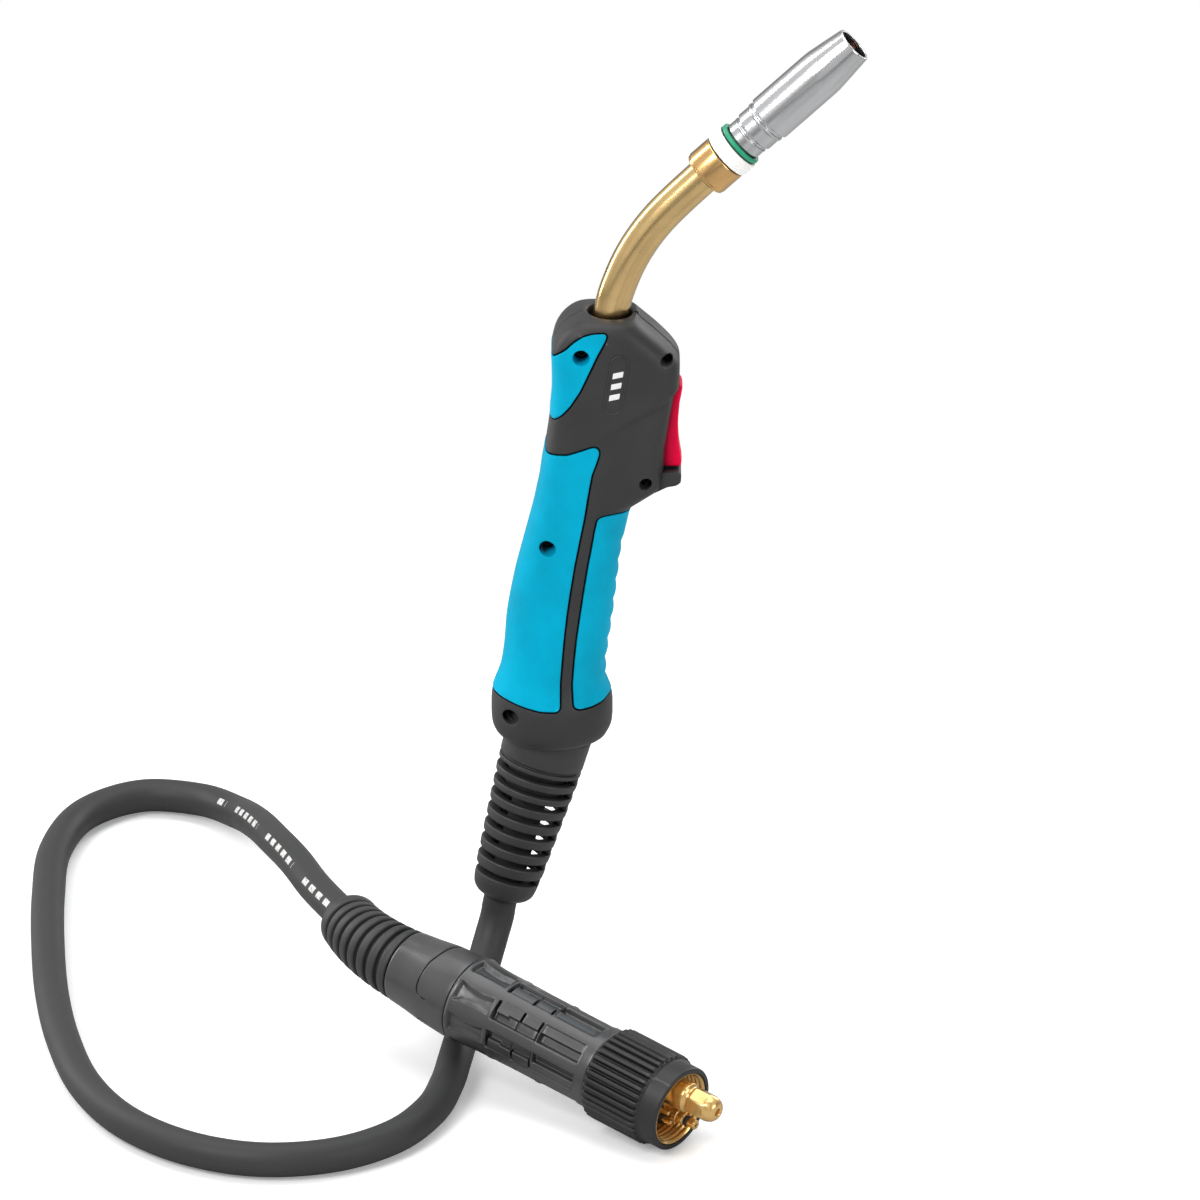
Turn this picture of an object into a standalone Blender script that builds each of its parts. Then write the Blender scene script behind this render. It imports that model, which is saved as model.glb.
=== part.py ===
"""MIG welding torch: handle, swan neck, gas nozzle, ball joint, lead and central adaptor plug."""
import math

import bmesh
import bpy
from mathutils import Matrix, Vector

MM = 0.001

# Where the ball joint's centre stands above the floor, from the object's origin.
BALL_AT = (48.7, -2.4, 128.0)

# Handle shells: height, back edge, front edge, half thickness, squareness of the section.
SHELL_ROWS = (
    (-8.8, -22.2, 21.0, 21.6, 2.0), (-8.2, -23.8, 22.6, 23.2, 2.0), (-6.2, -25.2, 24.0, 24.6, 2.0),
    (-3.0, -26.1, 24.9, 25.5, 2.0), (1.4, -26.3, 25.1, 25.7, 2.0), (9.1, -26.3, 25.1, 25.7, 2.0),
    (13.5, -25.9, 24.4, 25.1, 2.0), (17.0, -24.8, 22.9, 23.8, 2.05), (20.5, -23.4, 22.1, 22.3, 2.1),
    (25.4, -21.9, 22.1, 21.0, 2.15), (36.2, -20.4, 23.2, 20.0, 2.25), (47.1, -19.6, 24.7, 19.6, 2.3),
    (57.9, -17.9, 26.0, 19.4, 2.35), (68.8, -15.7, 27.2, 19.3, 2.4), (79.7, -13.0, 28.5, 19.2, 2.4),
    (90.5, -10.2, 30.6, 19.1, 2.5), (99.6, -7.9, 32.8, 19.0, 2.7), (105.9, -6.6, 40.9, 19.0, 2.9),
    (110.5, -5.6, 46.4, 19.0, 3.1), (117.0, -4.7, 46.7, 19.0, 3.4), (125.0, -3.3, 47.2, 19.0, 3.8),
    (132.2, -2.2, 48.5, 19.0, 4.0), (139.4, -1.3, 50.0, 19.0, 4.0), (153.9, -0.2, 52.8, 19.0, 4.0),
    (165.0, -0.3, 53.1, 19.0, 4.0), (169.5, -0.8, 51.2, 18.8, 3.8), (173.0, -1.0, 48.2, 18.2, 3.4),
    (176.0, -0.1, 44.6, 17.2, 3.0), (179.2, 2.6, 39.9, 15.4, 2.8), (181.6, 5.4, 34.8, 13.0, 2.6),
)
SHELL_SIDES = 12
PEG_SIDES = 12
SHELL_WALL = 3.2
SPLIT_GAP = 0.2
PAD_DEPTH = 1.5
PAD_PROUD = 0.25
PAD_ROOM = 0.4

# Soft pad outlines on the handle's side, x and height.
THUMB_PAD = (
    (-40.0, 167.0), (-1.5, 168.0), (2.7, 171.4), (5.3, 173.2), (8.8, 176.7), (12.7, 179.3), (16.6, 180.4),
    (21.8, 180.7), (22.5, 179.8), (21.8, 177.6), (18.3, 170.9), (14.9, 163.2), (11.4, 155.2), (7.1, 148.0),
    (3.6, 143.7), (0.6, 141.2), (-40.0, 139.7),
)
PALM_PAD = (
    (-40.0, 124.0), (-2.7, 124.9), (6.0, 125.8), (12.3, 128.1), (17.0, 129.8), (19.0, 129.0), (19.4, 126.9),
    (18.1, 122.6), (16.2, 117.4), (14.3, 106.5), (13.0, 97.4), (10.9, 86.7), (8.9, 75.8), (7.2, 64.9),
    (5.7, 54.2), (4.5, 43.4), (3.6, 32.8), (2.8, 22.4), (2.8, 11.9), (1.5, 10.6), (-5.4, 10.7), (-12.0, 11.9),
    (-18.5, 13.4), (-24.3, 14.6), (-40.0, 16.2),
)
FINGER_PAD = (
    (45.0, 98.0), (31.0, 98.8), (26.1, 98.8), (20.4, 98.0), (18.8, 96.8), (17.7, 91.8), (16.8, 86.4),
    (14.9, 75.5), (13.2, 64.6), (11.7, 53.9), (10.2, 43.1), (9.1, 32.4), (8.3, 22.0), (8.7, 13.6),
    (9.1, 12.0), (10.9, 11.0), (16.3, 11.3), (20.6, 12.1), (23.2, 13.4), (45.0, 14.5),
)

# Handle screws: x, height, depth of the head's top from the split, head radius.
SCREWS = (
    (11.4, 171.0, 15.6, 2.9), (48.7, 166.5, 11.0, 2.4), (38.7, 111.5, 14.0, 2.4),
    (-2.8, 84.0, 12.5, 2.9), (-19.0, 8.5, 15.5, 2.2),
)
RING_SCREW = 4

# Trigger: pivot and how the lever sits in its window.
TRIGGER_PIVOT = (47.6, 149.5)
TRIGGER_HALF_WIDTH = 6.1
WINDOW_HALF_WIDTH = 6.6
TRIGGER_SIDE = (
    (53.2, 155.2), (54.2, 153.4), (53.7, 150.3), (53.0, 146.7), (52.4, 139.4), (52.3, 135.0), (52.6, 128.6),
    (53.1, 125.0), (53.7, 121.3), (53.9, 118.8), (53.0, 117.6), (45.4, 117.6), (44.8, 124.0), (44.6, 140.0),
    (43.8, 147.0), (44.6, 153.0), (48.0, 155.4),
)
LIP_SIDE = ((43.6, 117.0), (53.0, 116.9), (53.8, 116.0), (53.6, 112.2), (51.6, 110.8), (48.0, 110.2), (43.6, 108.0))

# Swan neck centre line from inside the head to the collar, x and height.
NECK_LINE = (
    (22.6, 179.0), (24.3, 184.6), (25.6, 191.9), (28.0, 199.2), (31.6, 208.2), (36.6, 217.3), (43.2, 226.6),
    (51.6, 235.8), (63.1, 247.0), (65.6, 249.35),
)
NECK_R = 7.5
NECK_FRONT = (63.1, 247.0)
NECK_LEAN = math.radians(46.8)
MOUTH_R = 9.4
MOUTH_AT = (22.9, 181.8)
MOUTH_LEAN = math.radians(11.0)

# Ball joint and boot: how far the lead's axis leans back and towards the front.
LEAD_LEAN = math.radians(15.7)
LEAD_FORWARD = math.radians(6.0)
BALL_R = 22.4
BALL_ROOM = 0.4
CABLE_R = 7.25
BORE_R = 7.7
BOOT_END = 82.5
SLOT_LEVELS = (26.6, 33.7, 41.1, 48.5, 55.7, 63.2, 70.6)

# Plug: the nut's front centre from the ball's centre, and the way the nose points.
PLUG_AT = (53.2, -154.2, -108.9)
PLUG_TURN = math.radians(-38.66)
PLUG_DIP = math.radians(-8.4)
RIBS = 24
BOOT_BEND = math.radians(-34.0)
PLUG_BOOT_LENGTH = 45.0
JUNCTION = -148.9
FLOOR = -128.0 + CABLE_R
SLOT_STEPS = 6
GRIP_COLUMNS = 8

# Contacts on the plug's face: across and above its centre.
MAIN_PIN = (2.5, 5.5)
NIPPLE = (6.3, -8.4)
CONTROL_PINS = ((-1.6, -3.6), (1.0, -9.3))

# The lead's way over the floor: x, y and height from the ball's centre.
LEAD_PATH = (
    (-24.0, -9.8, -88.0), (-26.6, -13.4, -96.5), (-30.0, -21.5, -106.0), (-33.6, -34.5, -114.6),
    (-37.0, -50.5, -119.8), (-39.4, -66.0, FLOOR), (-41.6, -84.0, FLOOR), (-44.6, -106.0, FLOOR),
    (-51.0, -131.0, FLOOR), (-66.0, -156.0, FLOOR), (-91.0, -173.0, FLOOR), (-122.0, -177.0, FLOOR),
    (-152.0, -166.0, FLOOR), (-178.0, -142.0, FLOOR), (-196.0, -108.0, FLOOR), (-207.0, -66.0, FLOOR),
    (-214.0, -20.0, FLOOR), (-218.0, 30.0, FLOOR), (-220.0, 80.0, FLOOR), (-219.0, 125.0, FLOOR),
    (-208.0, 162.0, FLOOR), (-184.0, 182.0, FLOOR), (-157.0, 176.0, FLOOR + 1.0), (-140.0, 152.0, FLOOR + 6.0),
    (-130.0, 118.0, -104.5), (-121.0, 82.0, -96.0), (-111.5, 48.0, -90.0), (-101.5, 14.0, -87.0),
)

MATERIALS = {
    "shell_black": ((0.055, 0.055, 0.057, 1.0), 0.55, 0.0),
    "pad_blue": ((0.004, 0.44, 0.65, 1.0), 0.5, 0.0),
    "trigger_red": ((0.76, 0.005, 0.07, 1.0), 0.35, 0.0),
    "badge_black": ((0.08, 0.08, 0.085, 1.0), 0.4, 0.0),
    "boot_rubber": ((0.045, 0.045, 0.047, 1.0), 0.65, 0.0),
    "cable_rubber": ((0.06, 0.06, 0.06, 1.0), 0.6, 0.0),
    "plug_black": ((0.075, 0.075, 0.078, 1.0), 0.5, 0.0),
    "nut_black": ((0.03, 0.03, 0.032, 1.0), 0.4, 0.0),
    "neck_brass": ((0.58, 0.4, 0.13, 1.0), 0.28, 1.0),
    "collar_brass": ((0.68, 0.36, 0.09, 1.0), 0.25, 1.0),
    "plug_brass": ((0.8, 0.48, 0.12, 1.0), 0.2, 1.0),
    "copper": ((0.75, 0.32, 0.16, 1.0), 0.3, 1.0),
    "chrome": ((0.78, 0.78, 0.78, 1.0), 0.12, 1.0),
    "steel": ((0.5, 0.5, 0.5, 1.0), 0.3, 1.0),
    "insulator_white": ((0.87, 0.87, 0.84, 1.0), 0.35, 0.0),
    "seal_green": ((0.02, 0.38, 0.19, 1.0), 0.5, 0.0),
    "switch_grey": ((0.2, 0.2, 0.21, 1.0), 0.5, 0.0),
}


def clear_scene():
    """Remove whatever is in the scene."""
    for old in list(bpy.data.objects):
        bpy.data.objects.remove(old, do_unlink=True)


def make_collection(name):
    """Return a new collection linked to the scene."""
    made = bpy.data.collections.new(name)
    bpy.context.scene.collection.children.link(made)
    return made


def make_material(slot, name):
    """Return a material of its own for one sub-part."""
    colour, roughness, metallic = MATERIALS[slot]
    made = bpy.data.materials.new(name + "_" + slot)
    made.use_nodes = True
    shader = made.node_tree.nodes["Principled BSDF"]
    shader.inputs["Base Color"].default_value = colour
    shader.inputs["Roughness"].default_value = roughness
    shader.inputs["Metallic"].default_value = metallic
    made.diffuse_color = colour
    return made


def make_frame(name, at_mm, rotation, parent=None):
    """Return an empty that carries a group of sub-parts."""
    empty = bpy.data.objects.new(name, None)
    empty.empty_display_size = 0.01
    empty.location = Vector(at_mm) * MM
    empty.rotation_euler = rotation.to_euler()
    empty.parent = parent
    PART.objects.link(empty)
    return empty


def make_object(name, data, slot, frame):
    """Link a sub-part, give it its material and put it in its frame."""
    made = bpy.data.objects.new(name, data)
    data.materials.append(make_material(slot, name))
    PART.objects.link(made)
    made.parent = frame
    return made


def make_cutter(name, data, frame):
    """Link a cutter that only shapes other sub-parts."""
    made = bpy.data.objects.new(name, data)
    CUTTERS.objects.link(made)
    made.parent = frame
    made.hide_render = True
    made.display_type = "WIRE"
    return made


def apply_boolean(target, cutter, operation="DIFFERENCE"):
    """Add an exact boolean to a sub-part."""
    step = target.modifiers.new(cutter.name[:40], "BOOLEAN")
    step.object = cutter
    step.operation = operation
    step.solver = "EXACT"


def mesh_from(name, vertices_mm, faces, smooth=False):
    """Return a mesh from points in millimetres, faces turned outward."""
    mesh = bpy.data.meshes.new(name)
    mesh.from_pydata([Vector(point) * MM for point in vertices_mm], [], faces)
    work = bmesh.new()
    work.from_mesh(mesh)
    bmesh.ops.recalc_face_normals(work, faces=work.faces)
    for face in work.faces:
        face.smooth = smooth
    work.to_mesh(mesh)
    work.free()
    return mesh


def ring_mesh(name, rings, closed_ends=True, wrap=False):
    """Skin a stack of rings; wrap joins the last ring to the first, for a tube with a bore."""
    sides = len(rings[0])
    points = [point for ring in rings for point in ring]
    faces = []
    spans = len(rings) if wrap else len(rings) - 1
    for level in range(spans):
        low = level * sides
        high = ((level + 1) % len(rings)) * sides
        for side in range(sides):
            after = (side + 1) % sides
            faces.append((low + side, low + after, high + after, high + side))
    if closed_ends and not wrap:
        faces.append(tuple(range(sides - 1, -1, -1)))
        faces.append(tuple(range(len(points) - sides, len(points))))
    return mesh_from(name, points, faces, True)


def turned_data(name, profile):
    """Return an open profile mesh of radius and height points."""
    mesh = bpy.data.meshes.new(name)
    points = [Vector((radius, 0.0, height)) * MM for radius, height in profile]
    edges = [(index, index + 1) for index in range(len(points) - 1)]
    if profile[0][0] > 0.0 or profile[-1][0] > 0.0:
        edges.append((len(points) - 1, 0))
    mesh.from_pydata(points, edges, [])
    return mesh


def spin_profile(target, steps):
    """Turn a profile about its local Z."""
    turn = target.modifiers.new("turn", "SCREW")
    turn.angle = math.tau
    turn.steps = steps
    turn.render_steps = steps
    turn.use_merge_vertices = True
    turn.merge_threshold = 0.000001
    turn.use_smooth_shade = True


def turned(name, profile, slot, frame, steps=24, at=(0.0, 0.0, 0.0)):
    """Make a turned sub-part from a profile listed top to bottom outside, then back up inside."""
    made = make_object(name, turned_data(name, profile), slot, frame)
    made.location = Vector(at) * MM
    spin_profile(made, steps)
    return made


def turned_cutter(name, profile, frame, steps=24, at=(0.0, 0.0, 0.0)):
    """Make a turned cutter."""
    made = make_cutter(name, turned_data(name, profile), frame)
    made.location = Vector(at) * MM
    spin_profile(made, steps)
    return made


def prism_mesh(name, outline, near, far):
    """Extrude an outline in the handle's plane from one side distance to another."""
    points = [(x, near, z) for x, z in outline] + [(x, far, z) for x, z in outline]
    count = len(outline)
    faces = [tuple(range(count)), tuple(range(2 * count - 1, count - 1, -1))]
    for index in range(count):
        after = (index + 1) % count
        faces.append((index, index + count, after + count, after))
    return mesh_from(name, points, faces)


def box_mesh(name, low, high):
    """Return a box between two corners."""
    outline = ((low[0], low[2]), (high[0], low[2]), (high[0], high[2]), (low[0], high[2]))
    return prism_mesh(name, outline, low[1], high[1])


def grow_outline(outline, room):
    """Return an outline moved outward by a distance."""
    count = len(outline)
    area = sum(outline[i - 1][0] * outline[i][1] - outline[i][0] * outline[i - 1][1] for i in range(count))
    sign = 1.0 if area > 0.0 else -1.0
    grown = []
    for index in range(count):
        before = Vector(outline[index - 1])
        here = Vector(outline[index])
        after = Vector(outline[(index + 1) % count])
        first = (here - before).normalized()
        second = (after - here).normalized()
        normal = Vector((first.y + second.y, -first.x - second.x)).normalized() * sign
        stretch = max(0.6, normal.dot(Vector((first.y, -first.x)) * sign))
        grown.append(tuple(here + normal * room / stretch))
    return grown


def section(row, grow, start, count):
    """Return part of a handle section, from the back edge round by the front side."""
    height, back, front, half, squareness = row
    middle = (back + front) / 2.0
    reach = (front - back) / 2.0 + grow
    ring = []
    for step in range(count):
        angle = start + math.pi * step / SHELL_SIDES
        across = math.copysign(abs(math.cos(angle)) ** (2.0 / squareness), math.cos(angle))
        out = math.copysign(abs(math.sin(angle)) ** (2.0 / squareness), math.sin(angle))
        ring.append((middle - reach * across, -(half + grow) * out, height))
    return ring


def half_body(name, side, grow):
    """Return one half of the handle's outer form as a solid."""
    rings = []
    for row in SHELL_ROWS:
        ring = section(row, grow, 0.0, SHELL_SIDES + 1)
        ring = [(x, -side * y + side * SPLIT_GAP, z) for x, y, z in ring]
        rings.append(ring)
    return ring_mesh(name, rings)


def whole_body(name, grow, low, high):
    """Return the handle's whole form as a solid, sunk below its surface."""
    rows = [row for row in SHELL_ROWS if low <= row[0] <= high]
    return ring_mesh(name, [section(row, grow, 0.0, 2 * SHELL_SIDES) for row in rows])


def side_frame(name, x, z, side, parent):
    """Return a frame whose Z points out of one side of the handle."""
    turn = Matrix.Rotation(math.radians(90.0) * -side, 4, "X")
    return make_frame(name, (x, 0.0, z), turn, parent)


def build_shell(label, side):
    """Make one half of the handle's hard shell."""
    shell = make_object("handle_shell_" + label, half_body("shell_" + label, side, 0.0), "shell_black", TORCH)
    near = side * (SPLIT_GAP + 0.2)
    lip = make_cutter("lip_" + label, prism_mesh("lip_" + label, LIP_SIDE, near, side * 10.5), TORCH)
    apply_boolean(shell, lip, "UNION")
    rim_frame = make_frame("mouth_" + label, (MOUTH_AT[0], 0.0, MOUTH_AT[1]), Matrix.Rotation(MOUTH_LEAN, 4, "Y"), TORCH)
    rim_profile = ((0.0, 1.6), (11.7, 1.6), (12.4, 0.9), (12.4, -4.6), (0.0, -4.6))
    rim = turned_cutter("rim_" + label, rim_profile, rim_frame)
    half_space = box_mesh("half_" + label, (-60.0, near, 120.0), (90.0, side * 60.0, 260.0))
    half = make_cutter("half_" + label, half_space, TORCH)
    apply_boolean(rim, half, "INTERSECT")
    apply_boolean(shell, rim, "UNION")
    core = make_cutter("core_" + label, whole_body("core_" + label, -SHELL_WALL, -1.0, 179.5), TORCH)
    apply_boolean(shell, core)
    posts = make_cutter("posts_" + label, pegs_mesh("posts_" + label, post_pegs(), side), TORCH)
    apply_boolean(shell, posts, "UNION")
    mouth = turned_cutter("bore_" + label, ((0.0, 9.0), (MOUTH_R, 9.0), (MOUTH_R, -9.0), (0.0, -9.0)), rim_frame)
    apply_boolean(shell, mouth)
    window = box_mesh("window_" + label, (38.0, -WINDOW_HALF_WIDTH, 117.1), (70.0, WINDOW_HALF_WIDTH, 156.2))
    apply_boolean(shell, make_cutter("window_" + label, window, TORCH))
    socket = BALL_R + BALL_ROOM
    apply_boolean(shell, turned_cutter("socket_" + label, ball_profile(socket, socket, -socket), TORCH, 28))
    for name, outline in PADS:
        apply_boolean(shell, pad_recess(name + "_" + label, outline, label, side))
    pegs = front_hole_pegs() if side < 0 else back_hole_pegs()
    apply_boolean(shell, make_cutter("holes_" + label, pegs_mesh("holes_" + label, pegs, side), TORCH))
    return shell


def ball_profile(radius, top, bottom):
    """Return a ball's outline from a top height to a bottom height, closed on the axis."""
    high = math.asin(top / radius)
    low = math.asin(bottom / radius)
    arc = [high + (low - high) * step / 10 for step in range(11)]
    points = [(radius * math.cos(angle), radius * math.sin(angle)) for angle in arc]
    points = [(max(0.0, round(r, 6)), z) for r, z in points]
    if points[0][0] > 0.0:
        points.insert(0, (0.0, points[0][1]))
    if points[-1][0] > 0.0:
        points.append((0.0, points[-1][1]))
    return points


def pegs_mesh(name, pegs, side):
    """Return stepped round pegs standing across the handle, as one mesh."""
    points = []
    faces = []
    for x, z, profile in pegs:
        base = len(points)
        for radius, depth in profile:
            for step in range(PEG_SIDES):
                angle = math.tau * (step + 0.37) / PEG_SIDES
                points.append((x + radius * math.cos(angle), side * depth, z + radius * math.sin(angle)))
        last = len(profile) - 1
        for level in range(last):
            low = base + level * PEG_SIDES
            for step in range(PEG_SIDES):
                after = (step + 1) % PEG_SIDES
                faces.append((low + step, low + after, low + PEG_SIDES + after, low + PEG_SIDES + step))
        faces.append(tuple(range(base, base + PEG_SIDES)))
        faces.append(tuple(range(base + last * PEG_SIDES, base + (last + 1) * PEG_SIDES)))
    return mesh_from(name, points, faces)


def post_pegs():
    """Return the screw posts inside one half of the handle."""
    pegs = []
    for index, (x, z, depth, head) in enumerate(SCREWS):
        top = depth - 1.5 if index != RING_SCREW else 16.0
        bottom = 0.5 if index != RING_SCREW else 8.0
        pegs.append((x, z, ((4.3, bottom), (4.3, top))))
    return pegs


def head_depth(index):
    """Return how thick a screw's head is."""
    return 2.4 if index != RING_SCREW else 1.3


def front_hole_pegs():
    """Return the counterbores and shank holes of the front half."""
    pegs = []
    for index, (x, z, depth, head) in enumerate(SCREWS):
        floor = -1.0 if index != RING_SCREW else 11.6
        seat = depth - head_depth(index) - 0.35
        pegs.append((x, z, ((1.75, floor), (1.75, seat), (head + 0.4, seat), (head + 0.4, 40.0))))
    return pegs


def back_hole_pegs():
    """Return the blind screw holes of the back half."""
    return [(x, z, ((1.75, -1.0), (1.75, 9.0))) for x, z, depth, head in SCREWS[:RING_SCREW]]


def pad_recess(name, outline, label, side):
    """Return the cutter that sinks a pad into the shell."""
    prism = prism_mesh("recess_" + name, grow_outline(outline, PAD_ROOM), side * -1.0, side * 45.0)
    recess = make_cutter("recess_" + name, prism, TORCH)
    bed = whole_body("bed_" + name, -(PAD_DEPTH + PAD_ROOM), -9.0, 184.0)
    apply_boolean(recess, make_cutter("bed_" + name, bed, TORCH))
    return recess


def build_pad(name, outline, label, side):
    """Make one soft pad that follows the shell's surface."""
    pad = make_object(name + "_" + label, half_body(name + label, side, PAD_PROUD), "pad_blue", TORCH)
    prism = prism_mesh("edge_" + name + label, outline, side * (SPLIT_GAP + 0.05), side * 45.0)
    apply_boolean(pad, make_cutter("edge_" + name + label, prism, TORCH), "INTERSECT")
    under = whole_body("under_" + name + label, -PAD_DEPTH, -9.0, 184.0)
    apply_boolean(pad, make_cutter("under_" + name + label, under, TORCH))
    if side < 0:
        for index, (x, z, depth, head) in enumerate(SCREWS):
            frame = side_frame("pad_hole_%s_%d" % (name, index), x, z, side, TORCH)
            if (name, index) in (("thumb_pad", 0), ("palm_grip", 3)):
                profile = ((0.0, 40.0), (head + 0.7, 40.0), (head + 0.7, 6.0), (0.0, 6.0))
                apply_boolean(pad, turned_cutter("pad_bore_%s_%d" % (name, index), profile, frame, 20))
    return pad


def build_screw(index):
    """Make one handle screw, its head in the front shell's counterbore."""
    x, z, depth, head = SCREWS[index]
    frame = side_frame("screw_frame_%d" % (index + 1), x, z, -1, TORCH)
    low = -6.0 if index != RING_SCREW else 12.2
    top = depth
    under = top - head_depth(index)
    profile = ((0.0, top - 0.8), (1.2, top - 0.2), (head - 0.3, top), (head, top - 0.4), (head, under),
               (1.3, under - 0.1), (1.3, low), (0.0, low))
    turned("shell_screw_%d" % (index + 1), profile, "steel", frame, 12)


def build_trigger():
    """Make the trigger lever, its pin, the switch and the switch's plunger."""
    pivot = make_frame("trigger_axis", (TRIGGER_PIVOT[0], 0.0, TRIGGER_PIVOT[1]), Matrix.Identity(4), TORCH)
    outline = [(x - TRIGGER_PIVOT[0], z - TRIGGER_PIVOT[1]) for x, z in TRIGGER_SIDE]
    mesh = prism_mesh("trigger", outline, -TRIGGER_HALF_WIDTH, TRIGGER_HALF_WIDTH)
    lever = make_object("trigger_lever", mesh, "trigger_red", pivot)
    edge = lever.modifiers.new("edge", "BEVEL")
    edge.width = 0.5 * MM
    edge.segments = 2
    edge.limit_method = "ANGLE"
    edge.angle_limit = math.radians(50.0)
    across = make_frame("pin_axis", (0.0, 0.0, 0.0), Matrix.Rotation(math.radians(90.0), 4, "X"), pivot)
    bore = turned_cutter("pin_bore", ((0.0, 9.0), (1.55, 9.0), (1.55, -9.0), (0.0, -9.0)), across, 20)
    apply_boolean(lever, bore)
    turned("trigger_pin", ((0.0, 6.3), (1.5, 6.3), (1.5, -6.3), (0.0, -6.3)), "steel", across, 20)
    body = make_object("switch_body", box_mesh("switch", (30.0, -4.5, 120.0), (40.4, 4.5, 136.0)), "switch_grey", TORCH)
    slide = make_frame("plunger_axis", (44.2, 0.0, 128.0), Matrix.Rotation(math.radians(90.0), 4, "Y"), TORCH)
    hole = turned_cutter("plunger_hole", ((0.0, 1.0), (1.9, 1.0), (1.9, -9.0), (0.0, -9.0)), slide, 20)
    apply_boolean(body, hole)
    turned("switch_plunger", ((0.0, 0.0), (1.3, -0.2), (1.5, -0.6), (1.5, -5.0), (0.0, -5.0)), "trigger_red",
           slide, 20)


def build_badge():
    """Make the oval badge that sits on the head's front side."""
    outline = []
    for step in range(24):
        angle = math.tau * step / 24
        along = 9.4 if math.sin(angle) > 0.0 else -9.4
        x = 4.0 * math.cos(angle)
        z = 4.0 * math.sin(angle) + along
        lean = math.radians(7.0)
        outline.append((25.5 + x * math.cos(lean) + z * math.sin(lean), 158.0 - x * math.sin(lean) + z * math.cos(lean)))
    mesh = prism_mesh("badge", outline, -19.95, -19.55)
    make_object("badge_plate", mesh, "badge_black", TORCH)


def wire_curve(name, points_mm, radius, bevel_steps):
    """Return a round wire along points, with closed ends."""
    curve = bpy.data.curves.new(name, "CURVE")
    curve.dimensions = "3D"
    curve.bevel_depth = radius * MM
    curve.bevel_resolution = bevel_steps
    curve.fill_mode = "FULL"
    curve.use_fill_caps = True
    spline = curve.splines.new("POLY")
    spline.points.add(len(points_mm) - 1)
    for place, point in zip(spline.points, points_mm):
        place.co = (point[0] * MM, point[1] * MM, point[2] * MM, 1.0)
    spline.use_smooth = True
    return curve


def smooth_path(controls, pieces):
    """Return a smooth line through control points."""
    padded = [controls[0]] + list(controls) + [controls[-1]]
    line = []
    for index in range(1, len(padded) - 2):
        before, here, after, beyond = (Vector(padded[index + step]) for step in (-1, 0, 1, 2))
        for piece in range(pieces):
            t = piece / pieces
            bend = (after - before) * t + (before * 2 - here * 5 + after * 4 - beyond) * t * t
            line.append(here + (bend + (here * 3 - before - after * 3 + beyond) * t ** 3) * 0.5)
    line.append(Vector(controls[-1]))
    return line


def build_neck():
    """Make the swan neck, the block that holds it and the hose behind it."""
    line = smooth_path([(x, 0.0, z) for x, z in NECK_LINE], 3)
    make_object("swan_neck_tube", wire_curve("neck", line, NECK_R, 4), "neck_brass", TORCH)
    lean = make_frame("block_axis", (22.2, 0.0, 178.0), Matrix.Rotation(math.radians(9.0), 4, "Y"), TORCH)
    profile = ((0.0, 0.0), (4.8, 0.0), (4.8, -28.0), (8.2, -28.0), (8.2, -50.0), (5.0, -50.0), (5.0, -56.0),
               (0.0, -56.0))
    turned("neck_block", profile, "neck_brass", lean, 20)
    hose = smooth_path([(13.2, 0.0, 121.4), (11.5, 0.0, 105.0), (8.8, 0.0, 80.0), (5.0, 0.0, 50.0), (1.5, 0.0, 23.6)], 2)
    make_object("core_hose", wire_curve("hose", hose, 4.6, 2), "cable_rubber", TORCH)


def build_front_end():
    """Make everything carried by the front of the neck."""
    collar = ((0.0, 11.8), (10.0, 11.8), (10.5, 11.2), (10.5, 0.6), (9.9, 0.0), (8.0, 0.0), (8.0, 4.4), (0.0, 4.4))
    turned("neck_collar", collar, "collar_brass", FRONT, 28)
    insulator = ((5.2, 31.5), (7.6, 31.5), (7.6, 18.9), (10.7, 18.9), (10.8, 18.6), (10.8, 12.3), (5.2, 12.3))
    turned("insulator_ring", insulator, "insulator_white", FRONT, 28)
    seal = ((7.95, 21.3), (10.0, 21.3), (10.3, 20.9), (10.3, 19.6), (10.0, 19.25), (7.95, 19.25))
    turned("seal_ring", seal, "seal_green", FRONT, 28)
    holder = ((0.0, 46.0), (4.3, 46.0), (4.8, 45.4), (4.8, 12.2), (0.0, 12.2))
    turned("tip_holder", holder, "collar_brass", FRONT, 16)
    diffuser = ((5.2, 45.0), (6.0, 45.0), (6.5, 44.4), (6.5, 32.0), (5.2, 32.0))
    turned("gas_diffuser", diffuser, "insulator_white", FRONT, 16)
    tip = ((0.6, 77.0), (2.4, 77.0), (4.0, 71.5), (4.0, 46.4), (0.6, 46.4))
    turned("contact_tip", tip, "copper", FRONT, 16)
    nozzle = ((6.7, 84.6), (7.9, 84.6), (8.1, 84.3), (9.3, 75.0), (10.2, 67.7), (10.3, 66.0), (10.3, 36.4),
              (9.9, 35.9), (9.2, 35.7), (9.2, 35.2), (9.5, 35.0), (9.5, 27.5), (9.1, 27.1), (8.5, 27.0),
              (8.5, 26.6), (8.9, 26.4), (8.9, 22.1), (8.6, 21.7), (8.0, 21.7), (8.0, 34.0), (8.7, 35.8),
              (9.1, 38.0), (9.1, 66.0), (6.7, 83.0))
    turned("gas_nozzle", nozzle, "chrome", FRONT, 24)
    coil = []
    for step in range(31):
        angle = math.tau * step / 10
        coil.append((7.3 * math.cos(angle), 7.3 * math.sin(angle), 36.0 + 6.0 * step / 30))
    make_object("nozzle_spring", wire_curve("coil", coil, 0.4, 1), "steel", FRONT)


def down(points):
    """Turn distances below the ball's centre into heights."""
    return tuple((radius, -distance) for radius, distance in points)


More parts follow.
